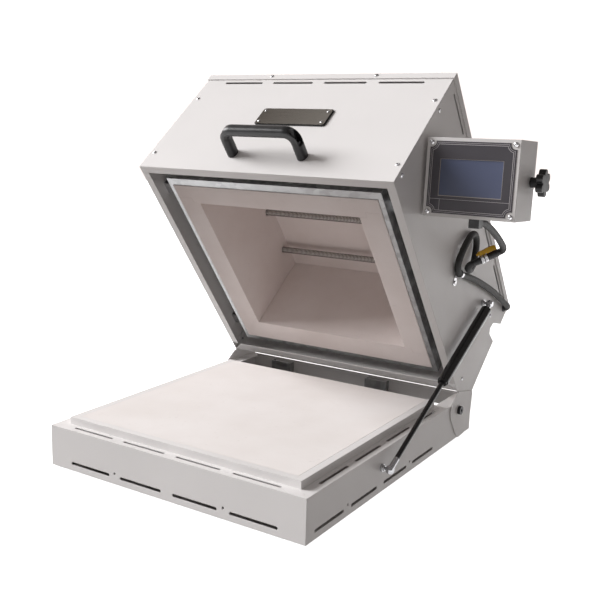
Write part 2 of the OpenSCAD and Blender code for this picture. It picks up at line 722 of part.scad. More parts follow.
// Bridge handle of one oval section: two legs, two round corners and a bar. A well down each leg, open to the
// outer side, takes its screw
module handle() {
    x0 = handle_span / 2;
    color("dimgray") in_lid() translate([0, 0, handle_z]) difference() {
        union() {
            rotate([90, 0, 90]) translate([-handle_reach, 0, corner_r - x0]) linear_extrude(2 * (x0 - corner_r))
                oval(bar_t, bar_h);
            both_sides() {
                translate([x0 - corner_r, corner_r - handle_reach, 0]) rotate([0, 0, -90]) rotate_extrude(angle = 90)
                    translate([corner_r, 0]) oval(bar_t, bar_h);
                translate([x0, 0, 0]) rotate([90, 0, 0]) linear_extrude(handle_reach - corner_r)
                    oval(bar_t, bar_h);
            }
        }
        both_sides() {
            translate([x0, -well_floor, 0]) rotate([90, 0, 0]) linear_extrude(handle_reach + bar_t) union() {
                circle(r = well_r);
                translate([0, -well_r]) square([bar_t, 2 * well_r]);
            }
            bar_y(-handle_reach, 1, x0, 0, leg_screw_r + 0.2);
        }
    }
}

// An oval with straight sides of width w and height h, where h is the larger
module oval(w, h) {
    union() {
        square([w, h - w], center = true);
        for (s = [-1, 1]) translate([0, s * (h - w) / 2]) circle(d = w);
    }
}

// Socket screws at the bottoms of the handle's wells
module handle_screws() {
    head_r = leg_screw_r + 1.9;
    color("gray") in_lid() for (s = [-1, 1]) difference() {
        union() {
            bar_y(-well_floor, 8, s * handle_span / 2, handle_z, leg_screw_r);
            bar_y(-well_floor - 5, -well_floor, s * handle_span / 2, handle_z, head_r);
            bar_y(sheet_t, sheet_t + 4, s * handle_span / 2, handle_z, head_r);
        }
        translate([s * handle_span / 2, -well_floor - 2, handle_z]) rotate([90, 0, 0])
            cylinder(r = 2.6, h = 4, $fn = 6);
    }
}

plate_t = 1.2;

module nameplate_backing() {
    color("black") in_lid() difference() {
        translate([0, 0, plate_z]) rotate([90, 0, 0]) linear_extrude(backing_t) round_rect(plate_w + 3, plate_h + 3, 5);
        rivet_places(-backing_t - 1, 1);
    }
}

module nameplate() {
    color("silver") in_lid() difference() {
        translate([0, -backing_t, plate_z]) rotate([90, 0, 0]) linear_extrude(plate_t) round_rect(plate_w, plate_h, 5);
        rivet_places(-backing_t - plate_t - 1, 1);
    }
}

// Rivet holes at the nameplate's corners, from y0 to y1
module rivet_places(y0, y1) {
    for (x = [-1, 1], z = [-1, 1])
        bar_y(y0, y1, x * (plate_w / 2 - 6), plate_z + z * (plate_h / 2 - 6), 1.6, 20);
}

module nameplate_rivets() {
    color("silver") in_lid() for (x = [-1, 1], z = [-1, 1])
        translate([x * (plate_w / 2 - 6), -backing_t - plate_t, plate_z + z * (plate_h / 2 - 6)])
        rotate([90, 0, 0]) union() {
            cylinder(r1 = 2.8, r2 = 1.6, h = 1.1, $fn = 24);
            translate([0, 0, -backing_t - plate_t]) cylinder(r = 1.5, h = backing_t + plate_t, $fn = 24);
        }
}

// Galvanised casing round the fibre: four walls with a lip under the fibre's edge, and a top
module casing() {
    color("silver") in_lid() difference() {
        union() {
            difference() {
                block([-casing_x, casing_y, casing_b], [casing_x, casing_y1, casing_top]);
                block([-casing_x + casing_t, casing_y + casing_t, casing_b - 1],
                    [casing_x - casing_t, casing_y1 - casing_t, casing_top - casing_t]);
            }
            difference() {
                block([-casing_x, casing_y, casing_b], [casing_x, casing_y1, casing_b + casing_t]);
                block([-fibre_x - seam, fibre_y0 - seam, casing_b - 1], [fibre_x + seam, fibre_y1 + seam, casing_b + 3]);
            }
        }
        bar_x(casing_x - 3, casing_x + 1, probe_y, probe_z, probe_r + 0.3);
    }
}

// Fibre wall, front or rear: it runs the full width and steps past the mouth's corners
module end_wall(y_in, y_out, z0, z1) {
    d = sign(y_out - y_in);
    translate([0, 0, z0]) linear_extrude(z1 - z0) polygon([
        [-mouth_w / 2 - joint_reach, y_in], [mouth_w / 2 + joint_reach, y_in],
        [mouth_w / 2 + joint_reach, y_in + d * joint_step], [fibre_x, y_in + d * joint_step], [fibre_x, y_out],
        [-fibre_x, y_out], [-fibre_x, y_in + d * joint_step],
        [-mouth_w / 2 - joint_reach, y_in + d * joint_step]]);
}

module fibre_front_wall() {
    color("seashell") in_lid() end_wall(mouth_y, fibre_y0, recess, ceiling_b);
}

module fibre_rear_wall() {
    color("seashell") in_lid() end_wall(mouth_y + mouth_d, fibre_y1, recess, ceiling_b);
}

// Fibre wall, right hand, between the steps of the front and rear walls
module side_wall() {
    y0 = mouth_y;
    y1 = mouth_y + mouth_d;
    g = 0.1;
    difference() {
        translate([0, 0, recess]) linear_extrude(ceiling_b - recess) polygon([
            [mouth_w / 2, y0 + g], [mouth_w / 2 + joint_reach + g, y0 + g],
            [mouth_w / 2 + joint_reach + g, y0 - joint_step + g], [fibre_x, y0 - joint_step + g],
            [fibre_x, y1 + joint_step - g], [mouth_w / 2 + joint_reach + g, y1 + joint_step - g],
            [mouth_w / 2 + joint_reach + g, y1 - g], [mouth_w / 2, y1 - g]]);
        for (y = coil_ys) bar_x(mouth_w / 2 - 1, mouth_w / 2 + coil_hole_l, y, coil_b, coil_hole_r, 32);
        for (y = coil_ys) bar_x(mouth_w / 2, mouth_w / 2 + coil_hole_l + 10, y, coil_b, rod_core_r + 0.05, 32);
    }
}

module fibre_left_wall() {
    color("seashell") in_lid() mirror([1, 0, 0]) side_wall();
}

module fibre_right_wall() {
    color("seashell") in_lid() difference() {
        side_wall();
        bar_x(mouth_w / 2 - 1, fibre_x + 1, probe_y, probe_z, probe_r + 0.1);
    }
}

module ceiling_board() {
    color("seashell") in_lid() block([-fibre_x, fibre_y0, ceiling_b], [fibre_x, fibre_y1, ceiling_b + ceiling_t]);
}

module blanket() {
    color("ivory") in_lid() block([-fibre_x, fibre_y0, ceiling_b + ceiling_t],
        [fibre_x, fibre_y1, ceiling_b + ceiling_t + blanket_t]);
}

// Heating coil: one unbroken wire wound along X, with straight ends that meet the bottoms of its wall holes
module heating_coil(y) {
    steps = 8;
    end = mouth_w / 2 + coil_hole_l;
    straight = 4 * wire_r;
    run = 2 * (end - straight);
    turns = [for (i = [0:curls * steps]) let (s = i / (curls * steps), a = 360 * curls * s)
        [-end + straight + run * s, coil_r * cos(a), coil_r * sin(a)]];
    path = concat([[-end, coil_r, 0], [-end + 2 * wire_r, coil_r, 0]], turns,
        [[end - 2 * wire_r, coil_r, 0], [end, coil_r, 0]]);
    normals = concat([[0, 1, 0], [0, 1, 0]], [for (p = turns) unit([0, p[1], p[2]])], [[0, 1, 0], [0, 1, 0]]);
    t = directions(path);
    n = [for (i = [0:len(path) - 1]) unit(normals[i] - (normals[i] * t[i]) * t[i])];
    translate([0, y, coil_b]) tube_along(path, n, t, wire_r, 6);
    gaps = [for (i = [0:steps:steps * (curls - 2)], j = [4:steps + 4]) norm(turns[i] - turns[i + j])
        - 2 * wire_r];
    echo(least_coil_gap = min([for (i = [steps:len(turns) - 1]) norm(turns[i] - turns[i - steps]) - 2 * wire_r]),
        least_half_turn_gap = min(gaps));
}

module front_heating_coil() {
    color("dimgray") in_lid() heating_coil(coil_ys[0]);
}

module middle_heating_coil() {
    color("dimgray") in_lid() heating_coil(coil_ys[1]);
}

module rear_heating_coil() {
    color("dimgray") in_lid() heating_coil(coil_ys[2]);
}

// Ceramic rods that hold the coils straight
module ceramic_rods() {
    color("white") in_lid() for (y = coil_ys) bar_x(-mouth_w / 2 - coil_hole_l - 9.7, mouth_w / 2 + coil_hole_l + 9.7,
        y, coil_b, rod_core_r, 32);
}

probe_y = mouth_y + mouth_d / 2 + coil_pitch / 2;
probe_z = coil_b - 12;
probe_r = 3;

// Thermocouple: a sheath that reaches into the chamber, with a collar outside the casing
module thermocouple_probe() {
    color("silver") in_lid() union() {
        bar_x(mouth_w / 2 - 14, casing_x + 12, probe_y, probe_z, probe_r);
        bar_x(casing_x + 0.2, casing_x + 8, probe_y, probe_z, 6);
    }
}

// Angle brackets that hold the casing to the shell at its lower corners, each with a screw
module casing_brackets() {
    color("silver") in_lid() for (y = [casing_y + 30, casing_y1 - 40])
        both_sides() union() {
            block([casing_x, y, 30], [casing_x + casing_t, y + 22, 52]);
            block([casing_x, y, 30], [wall_x, y + 22, 30 + casing_t]);
            block([wall_x - casing_t, y, 30], [wall_x, y + 22, 52]);
            translate([casing_x + 16, y + 11, 30]) mirror([0, 0, 1]) cylinder(r = 4, h = 3);
        }
}

// Cover over the relay between the rear wings, with louvre slots
module relay_cover() {
    z1 = relay_z + relay_h;
    color("whitesmoke") in_lid() difference() {
        block([-relay_w / 2, lid_d, relay_z], [relay_w / 2, lid_d + relay_d, z1]);
        block([-relay_w / 2 + sheet_t, lid_d - 1, relay_z + sheet_t],
            [relay_w / 2 - sheet_t, lid_d + relay_d - sheet_t, z1 - sheet_t]);
        for (z = [-1, 0, 1]) front_slots(2, slot_pitch, lid_d + relay_d, relay_z + relay_h / 2 + z * 14);
        bar_y(lid_d + relay_d - 4, lid_d + relay_d + 1, -relay_w / 2 + 32, relay_z + relay_h / 2, 12.1);
    }
}

// Relay on its finned heat sink
module relay() {
    x = 70;
    z = relay_z + relay_h / 2;
    sink_w = 60;
    body_w = 44;
    fin_l = 8;
    base_t = 6;
    color("black") in_lid() union() {
        block([x - sink_w / 2, lid_d, z - sink_w / 2], [x + sink_w / 2, lid_d + base_t, z + sink_w / 2]);
        for (i = [0:8]) block([x - sink_w / 2 + 7 * i, lid_d + base_t, z - sink_w / 2],
            [x - sink_w / 2 + 7 * i + 2, lid_d + base_t + fin_l, z + sink_w / 2]);
        block([x - body_w / 2, lid_d + base_t + fin_l, z - body_w / 2],
            [x + body_w / 2, lid_d + relay_d - 10, z + body_w / 2]);
    }
}

// Terminal block with a row of screw wells
module terminal_block() {
    x = -35;
    z = relay_z + relay_h / 2;
    length = 70;
    height = 26;
    depth = 22;
    color("ivory") in_lid() difference() {
        block([x - length / 2, lid_d, z - height / 2], [x + length / 2, lid_d + depth, z + height / 2]);
        for (i = [-2:2]) bar_y(lid_d + depth / 2, lid_d + depth + 1, x + 12 * i, z, 3, 20);
    }
}

// Inlet of the mains lead: a gland body with a hollow nose and its nut inside the cover
module power_inlet() {
    y = lid_d + relay_d;
    x = -relay_w / 2 + 32;
    z = relay_z + relay_h / 2;
    color("black") in_lid() difference() {
        union() {
            bar_y(y - 8, y + 0.02, x, z, 12);
            bar_y(y, y + 5, x, z, 15);
            bar_y(y + 5, y + 9, x, z, 11);
            translate([x, y - sheet_t, z]) rotate([90, 0, 0]) cylinder(r = 16, h = 5, $fn = 6);
        }
        bar_y(y - 10, y + 12, x, z, 5.5);
    }
}

gland_x = half_w - 31;
gland_z = lid_h - 30;
// Place of the gland in the wing
wing_gland_y = wing_y - 19;
wing_gland_z = lid_h - 22;
// Route of the lead in the lid's frame: from the boot, round its slack loop, along the side and in at the rear
// Points of the controller's lead: distance out from the side, distance from the front, height
front_run = [[22, 280, 122], [18, 279.8, 117.7], [15, 283.5, 114.5], [14, 291, 117], [12.5, 298, 123],
    [11, 303, 132], [10, 305, 143], [8.5, 303, 155], [7.5, 298.5, 167], [7, 291, 176.5], [7, 281, 181.5],
    [7, 270, 180], [7.5, 261.5, 172], [8, 256.5, 160], [8.5, 254, 146], [8.5, 254, 131], [8, 256, 116],
    [7.3, 260.5, 103], [7, 268, 96], [7, 278, 96], [7, 290, 103], [7, 310, 119], [7, 343, 143],
    [7, 389, 173], [7, 440, 203]];
// The same at the wing's gland: distance out from the side, distance in front of the gland, height above it
gland_run = [[8, -29, -11], [9, -17, -5.5], [9.3, -9, -2], [7.5, -2.2, -0.3], [2, 0, 0], [-5, 0, 0], [-12, 0, -0.5]];
// The same inside the wing: distance out from the side, distance behind the shell, height above the rear gland
rear_run = [[-22, 30, 4], [-29, 22, 1.5], [-31, 12, 0], [-31, 4, 0], [-31, -4, 0]];
lead_route = concat([for (p = front_run) [half_w + p[0], p[1], p[2]]],
    [for (p = gland_run) [half_w + p[0], wing_gland_y + p[1], wing_gland_z + p[2]]],
    [for (p = rear_run) [half_w + p[0], lid_d + p[1], gland_z + p[2]]]);
clip_place = 39;

module controller_lead() {
    color("black") in_lid() lead_along(lead_route, lead_r, 8, 2);
    echo(least_lead_gap = lead_gap(smooth(lead_route, 2)));
}

// Glands through the right wing and through the lid's rear wall
module lead_gland() {
    color("black") in_lid() difference() {
        union() {
            bar_x(wall_x - 6, half_w + 2.4, wing_gland_y, wing_gland_z, lead_r + 2.1);
            bar_x(wall_x - 3, wall_x, wing_gland_y, wing_gland_z, lead_r + 3.4);
        }
        bar_x(wall_x - 8, half_w + 4, wing_gland_y, wing_gland_z, lead_r + 0.5);
    }
    color("black") in_lid() difference() {
        union() {
            bar_y(lid_d - 8, lid_d + 0.02, gland_x, gland_z, lead_r + 2.5);
            bar_y(lid_d, lid_d + 8, gland_x, gland_z, lead_r + 5.5);
            translate([gland_x, lid_d - sheet_t, gland_z]) rotate([90, 0, 0])
                cylinder(r = lead_r + 7, h = 5, $fn = 6);
        }
        bar_y(lid_d - 12, lid_d + 9, gland_x, gland_z, lead_r + 0.4);
    }
}

// Clip that holds the lead to the lid's side: a band round the lead, a tab on the panel and a screw
lead_play = 0.35;
clip_tail = 15;

module lead_clips() {
    q = smooth(lead_route, 2);
    band = 1.2;
    i = clip_place;
    way = unit(q[i + 1] - q[i - 1]);
    color("dimgray") in_lid() translate([half_w, q[i][1], q[i][2]]) rotate([atan2(way[2], way[1]), 0, 0]) difference() {
            union() {
                bar_y(-3.2, 3.2, q[i][0] - half_w, 0, lead_r + lead_play + band);
                translate([0, -5, -lead_r - clip_tail]) cube([band, 10, lead_r + clip_tail]);
                bar_x(0, band + 2, 0, -lead_r - clip_tail + 5.5, 3.2, 24);
            }
            bar_y(-6, 6, q[i][0] - half_w, 0, lead_r + lead_play);
        }
}

// The connector under the controller, straight along its own line, in the lid's frame
plug_from = [half_w + 54, 282, 156];
plug_to = lead_route[0];
plug_way = unit(plug_to - plug_from);
plug_length = norm(plug_to - plug_from);
// Direction from the connector towards the small plug that lies on it
plug_up = [-0.44, -0.77, 0.46];

// Puts a piece on the connector's line at distance s, with its third axis along the line
module on_plug(s) {
    tilt = acos(plug_way[2]);
    turn = atan2(plug_way[1], plug_way[0]);
    side_1 = [cos(turn) * cos(tilt), sin(turn) * cos(tilt), -sin(tilt)];
    side_2 = [-sin(turn), cos(turn), 0];
    in_lid() translate(plug_from + s * plug_way) rotate([0, tilt, turn])
        rotate(atan2(plug_up * side_2, plug_up * side_1)) children();
}

// Lengths along the connector: the plug's body, its two coupling rings and the boot
plug_l = 21;
ring_l = 5.6;
boot_from = plug_l + 2 * ring_l + 2;

end_gap = 0.5;

module lead_plug() {
    color("black") union() {
        on_plug(end_gap) cylinder(r = plug_r, h = plug_l - end_gap);
        on_plug(plug_l - 1) cylinder(r = plug_r - 1.6, h = boot_from - plug_l + 2);
        on_plug(boot_from) cylinder(r1 = plug_r - 0.2, r2 = lead_r - 0.4, h = plug_length - end_gap - boot_from);
    }
}

// Knurled coupling rings on the plug's neck
module coupling_rings() {
    color("silver") for (s = [plug_l + 0.3, plug_l + ring_l + 1.3]) difference() {
        on_plug(s) cylinder(r = ring_r, h = ring_l);
        on_plug(s - 1) cylinder(r = plug_r - 1.55, h = ring_l + 2);
    }
}

// Upper lead between the hood and the connector, in the base's frame
upper_run = [[75, 62.5, 400.3], [75, 74, 399.6], [75, 86, 398], [74, 104, 393], [72, 128, 385],
    [70, 150, 376.5], [67.5, 172, 368], [65.5, 191, 359.5], [63.5, 208, 351.5], [62, 219, 345.5],
    [60.5, 225.5, 340.5], [57.8, 226.8, 337.3], [54, 223.6, 335]];
upper_route = [for (p = upper_run) [half_w + p[0], p[1], p[2]]];
hood_x = upper_route[0][0] - ctl_x0;
hood_y = -8.4;

module upper_lead() {
    color("black") lead_along(upper_route, lead_r, 8, 2);
}

// Thermocouple plug and socket: two halves that lie on the connector, one on its body, one on its rings
module thermocouple_connector() {
    thick = 8;
    wide = 15;
    step = ring_r - plug_r;
    color("gold") on_plug(0) translate([plug_r + 0.3, 0, 3]) union() {
        translate([0, -wide / 2, 0]) cube([thick, wide, 17]);
        translate([step, -wide / 2 + 1, 16]) cube([thick - step - 0.6, wide - 2, 13]);
        translate([step + 3, 0, 28]) cylinder(r = 2.4, h = 5, $fn = 24);
    }
}

// Round socket with flat sides that holds a ball
module socket() {
    intersection() {
        sphere(r = socket_r);
        bar_x(-socket_w / 2, socket_w / 2, 0, 0, socket_r + 1);
    }
}

// Rod of the gas strut with its lower socket, set out along the strut's line
module along_strut() {
    translate([ball_x, low[0], low[1]]) rotate([strut_angle, 0, 0]) children();
}

module strut_rod() {
    color("silver") along_strut() difference() {
        union() {
            socket();
            bar_y(socket_r - 2, neck_l, 0, 0, neck_r);
            bar_y(neck_l - 2, strut_l - tube_l + rod_in, 0, 0, rod_r);
            bar_y(strut_l - tube_l + rod_in, strut_l - tube_l + rod_in + 8, 0, 0,
                tube_r - tube_wall - rod_play);
        }
        sphere(r = ball_r + ball_play, $fn = 36);
        bar_x(-7, 0, 0, 0, ball_r);
    }
}

// Tube of the gas strut with its collar, guide and upper socket
module strut_tube() {
    y0 = strut_l - tube_l;
    y1 = strut_l - neck_l + 6;
    color("dimgray") along_strut() difference() {
        union() {
            bar_y(y0, y1, 0, 0, tube_r);
            bar_y(y0 - collar_l, y0 + 0.02, 0, 0, tube_r - tube_wall);
            bar_y(y1 - 0.02, strut_l - socket_r + 2, 0, 0, neck_r);
            translate([0, strut_l, 0]) socket();
        }
        bar_y(y0 - collar_l - 1, y0 + 12.02, 0, 0, rod_r + rod_play);
        bar_y(y0 + 12, y1 - 8, 0, 0, tube_r - tube_wall);
        translate([0, strut_l, 0]) sphere(r = ball_r + ball_play, $fn = 36);
        translate([0, strut_l, 0]) bar_x(-7, 0, 0, 0, ball_r);
    }
}

// Upper ball stud. Its flange stands just off the lid's side
module strut_upper_stud() {
    color("silver") translate([panel_gap, high[0], high[1]]) union() {
        bar_x(half_w, half_w + 3.5, 0, 0, 6);
        bar_x(half_w + 3.5, half_w + 6, 0, 0, 4.5);
        bar_x(half_w + 6, half_w + ball_out - panel_gap, 0, 0, 2.6);
        translate([ball_x - panel_gap, 0, 0]) sphere(r = ball_r, $fn = 36);
    }
}

// Puts a piece of the controller in place: its own frame starts at the tilt axis, at the box's left face
module in_controller() {
    translate([ctl_x0, ctl_axis[0], ctl_axis[1]]) rotate([-lean, 0, 0]) children();
}

ctl_low = -axis_up - ctl_h / 2;
ctl_high = -axis_up + ctl_h / 2;
ctl_front = -axis_back;
cover_t = 2;
screw_in = 7;

module controller_box() {
    color("whitesmoke") in_controller() difference() {
        block([0, ctl_front + cover_t, ctl_low], [ctl_w, ctl_front + ctl_d, ctl_high]);
        block([ctl_t, ctl_front, ctl_low + ctl_t], [ctl_w - ctl_t, ctl_front + ctl_d - ctl_t, ctl_high - ctl_t]);
        bar_x(-1, ctl_w + 1, 0, 0, stud_r + stud_play);
    }
}

module controller_front() {
    color("whitesmoke") in_controller() difference() {
        block([0, ctl_front, ctl_low], [ctl_w, ctl_front + cover_t, ctl_high]);
        block([ctl_w / 2 - screen_w / 2 - 4, ctl_front - 1, -axis_up - screen_h / 2 - 4],
            [ctl_w / 2 + screen_w / 2 + 4, ctl_front + cover_t + 1, -axis_up + screen_h / 2 + 4]);
        for (x = [screw_in, ctl_w - screw_in], z = [ctl_low + screw_in, ctl_high - screw_in])
            bar_y(ctl_front - 1, ctl_front + 4, x, z, screw_r + 0.1, 20);
    }
}

// Dark label plate with its corners cut back round the screws
module label_plate() {
    color("dimgray") in_controller() difference() {
        translate([ctl_w / 2, ctl_front, -axis_up]) rotate([90, 0, 0]) linear_extrude(0.6) difference() {
            square([ctl_w - 10, ctl_h - 10], center = true);
            square([screen_w, screen_h], center = true);
            for (x = [-1, 1], z = [-1, 1]) translate([x * (ctl_w / 2 - screw_in), z * (ctl_h / 2 - screw_in)])
                circle(r = 7, $fn = 32);
        }
    }
}

module touch_screen() {
    color("slategray") in_controller() union() {
        block([ctl_w / 2 - screen_w / 2 - 3.5, ctl_front + 0.3, -axis_up - screen_h / 2 - 3.5],
            [ctl_w / 2 + screen_w / 2 + 3.5, ctl_front + 8, -axis_up + screen_h / 2 + 3.5]);
    }
}

module circuit_board() {
    color("darkgreen") in_controller() union() {
        block([ctl_t + 5, ctl_front + 8, ctl_low + 8], [ctl_w - ctl_t - 5, ctl_front + 9.6, ctl_high - 8]);
        for (x = [30, 70, 105]) block([x, ctl_front + 9.6, -axis_up - 16], [x + 16, ctl_front + 20, -axis_up + 12]);
        for (x = [ctl_t + 9, ctl_w - ctl_t - 9], z = [ctl_low + 12, ctl_high - 12])
            bar_y(ctl_front + cover_t, ctl_front + 8.1, x, z, 3, 20);
    }
}

module cover_screws() {
    color("silver") in_controller() for (x = [screw_in, ctl_w - screw_in],
        z = [ctl_low + screw_in, ctl_high - screw_in]) translate([x, ctl_front, z]) rotate([90, 0, 0]) pan_screw(7);
}

// Hood where the lead leaves the bottom of the box
module lead_hood() {
    color("dimgray") in_controller() difference() {
        block([hood_x - hood_w / 2, hood_y - hood_w, ctl_low - hood_h], [hood_x + hood_w / 2, hood_y, ctl_low]);
        bar_y(hood_y - 6, hood_y + 1, hood_x, ctl_low - hood_h / 2, lead_r + 0.1);
    }
}

// Stud through the box, with the spacer that keeps the box off the lid and a nut inside the lid
module tilt_stud() {
    color("silver") in_lid() union() {
        bar_x(wall_x - 8, ctl_x1 + hub_l + knob_t - 4, axis_y, axis_z, stud_r);
        bar_x(half_w, ctl_x0 - 0.3, axis_y, axis_z, 9);
        translate([wall_x - 7, axis_y, axis_z]) rotate([0, 90, 0]) cylinder(r = 7.5, h = 7, $fn = 6);
    }
}

// Star knob with six lobes and a hub
module star_knob() {
    lobe = knob_r * 0.32;
    color("black") translate([ctl_x1 + 0.3, ctl_axis[0], ctl_axis[1]]) rotate([0, 90, 0]) difference() {
        union() {
            cylinder(r = hub_r, h = hub_l + 1);
            translate([0, 0, hub_l]) linear_extrude(knob_t) union() {
                circle(r = knob_r - lobe);
                for (i = [0:5]) rotate(60 * i) translate([knob_r - lobe, 0]) circle(r = lobe, $fn = 32);
            }
        }
        translate([0, 0, -1]) cylinder(r = stud_r + stud_play, h = hub_l + knob_t - 2);
    }
}

base_front_panel();
base_left_panel();
base_right_panel();
base_rear_panel();
floor_plate();
feet();
hearth_back_plate();
hearth_board();
hearth_insulation();
rear_posts();
hinge_bolts();
strut_lower_stud();
lid_front_panel();
lid_left_panel();
lid_right_panel();
lid_top_panel();
lid_rear_panel();
panel_screws();
hinge_bushes();
handle();
handle_screws();
nameplate();
nameplate_backing();
nameplate_rivets();
casing();
fibre_front_wall();
fibre_rear_wall();
fibre_left_wall();
fibre_right_wall();
ceiling_board();
blanket();
front_heating_coil();
middle_heating_coil();
rear_heating_coil();
ceramic_rods();
thermocouple_probe();
casing_brackets();
relay_cover();
relay();
terminal_block();
power_inlet();
controller_lead();
lead_gland();
lead_clips();
lead_plug();
coupling_rings();
upper_lead();
thermocouple_connector();
strut_rod();
strut_tube();
strut_upper_stud();
controller_box();
controller_front();
label_plate();
touch_screen();
circuit_board();
cover_screws();
lead_hood();
tilt_stud();
star_knob();
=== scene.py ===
"""Visual model of a bench kiln whose fibre-lined lid stands open over a flat hearth.

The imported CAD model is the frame. This script gives every node a procedural finish, replaces the
plain wound, moulded and woven pieces with detailed meshes, and sets the stage, lights and camera.
Sizes in the sub-assemblies are millimetres, and those of finishes and the studio are metres, as
are Blender's objects, in the same frame as the CAD.
"""

import logging
import math
from dataclasses import dataclass
from enum import Enum
from typing import Iterable, Optional, Sequence

import bmesh
import bpy
import numpy as np
from mathutils import Matrix, Vector


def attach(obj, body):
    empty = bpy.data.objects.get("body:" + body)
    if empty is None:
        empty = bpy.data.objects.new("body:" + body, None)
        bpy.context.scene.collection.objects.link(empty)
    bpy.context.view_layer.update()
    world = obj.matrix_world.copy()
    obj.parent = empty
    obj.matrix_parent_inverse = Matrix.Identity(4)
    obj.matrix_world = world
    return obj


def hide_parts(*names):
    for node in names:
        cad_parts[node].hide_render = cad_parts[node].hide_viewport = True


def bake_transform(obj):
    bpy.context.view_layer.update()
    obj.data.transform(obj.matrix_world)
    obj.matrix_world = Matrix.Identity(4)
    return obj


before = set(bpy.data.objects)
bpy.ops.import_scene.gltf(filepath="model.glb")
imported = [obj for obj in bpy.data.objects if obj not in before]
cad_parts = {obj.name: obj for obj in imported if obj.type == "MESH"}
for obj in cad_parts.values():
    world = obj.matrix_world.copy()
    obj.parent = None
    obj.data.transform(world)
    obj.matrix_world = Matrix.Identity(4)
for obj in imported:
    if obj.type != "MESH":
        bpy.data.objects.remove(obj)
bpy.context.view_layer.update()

LOG = logging.getLogger("kiln")
MM = 0.001
Triple = tuple[float, float, float]


class Body(Enum):
    """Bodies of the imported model."""

    BASE = "base"
    LID = "lid"
    ROD = "strut_rod"
    TUBE = "strut_tube"
    CONTROLLER = "controller"
    KNOB = "star_knob"


class Slot(Enum):
    """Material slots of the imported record."""

    COAT = "white_powder_coat"
    GALVANISED = "galvanised_sheet"
    ZINC = "zinc_plate"
    FIBRE = "ceramic_fibre"
    HEARTH = "hearth_fibre"
    ROD = "ceramic_rod"
    WIRE = "heating_wire"
    RUBBER = "black_rubber"
    PLASTIC = "black_plastic"
    BRAID = "braided_sleeve"
    OXIDE = "black_oxide"
    BRONZE = "bronze"
    STAINLESS = "stainless_plate"
    PAINT = "black_paint"
    LABEL = "label_film"
    SCREEN = "screen_glass"
    BOARD = "circuit_green"
    TERMINAL = "terminal_plastic"
    YELLOW = "yellow_plastic"


# ---------------------------------------------------------------- places


@dataclass(frozen=True)
class HingedLid:
    """Where the open lid holds its own frame, whose origin is the shell's lower front edge.

    Attributes:
        pivot_y: hinge axis, distance behind the middle of the base.
        pivot_z: hinge axis, height above the floor plate's underside.
        pivot_a: hinge axis in the lid's frame, distance behind the lid's front.
        pivot_b: hinge axis in the lid's frame, height above the lid's lower edge.
        angle: how far the lid is open, in degrees.
    """

    pivot_y: float = 224.4
    pivot_z: float = 51.3
    pivot_a: float = 507.4
    pivot_b: float = -16.3
    angle: float = 52.5

    def matrix(self) -> Matrix:
        """Gives the lid's frame in the row frame.

        Returns:
            The matrix that takes metres in the lid's frame to metres in the row frame.
        """
        return (
            Matrix.Translation((0, self.pivot_y * MM, self.pivot_z * MM))
            @ Matrix.Rotation(math.radians(-self.angle), 4, "X")
            @ Matrix.Translation((0, -self.pivot_a * MM, -self.pivot_b * MM))
        )


@dataclass(frozen=True)
class TiltedBox:
    """Where the controller box stands, its frame starting at the tilt axis on its left face."""

    x: float = 242.5
    axis_a: float = 89.7
    axis_b: float = 116.2
    lean: float = 3.3

    def matrix(self, lid: Matrix) -> Matrix:
        """Gives the controller's frame in the row frame.

        Args:
            lid: the lid's frame, which holds the tilt axis.

        Returns:
            The matrix that takes metres in the controller's frame to the row frame.
        """
        axis = lid @ Vector((0, self.axis_a * MM, self.axis_b * MM))
        axis.x = self.x * MM
        return Matrix.Translation(axis) @ Matrix.Rotation(math.radians(-self.lean), 4, "X")


LID = HingedLid().matrix()
CONTROLLER = TiltedBox().matrix(LID)


# ---------------------------------------------------------------- node trees


def linear(colour: Sequence[float]) -> tuple[float, float, float, float]:
    """Turns a display colour in 0 to 255 into a linear colour.

    Args:
        colour: red, green and blue.

    Returns:
        Linear red, green, blue and 1.
    """
    def one(c: float) -> float:
        c /= 255
        return c / 12.92 if c <= 0.04045 else ((c + 0.055) / 1.055) ** 2.4

    return (*[one(c) for c in colour], 1.0)


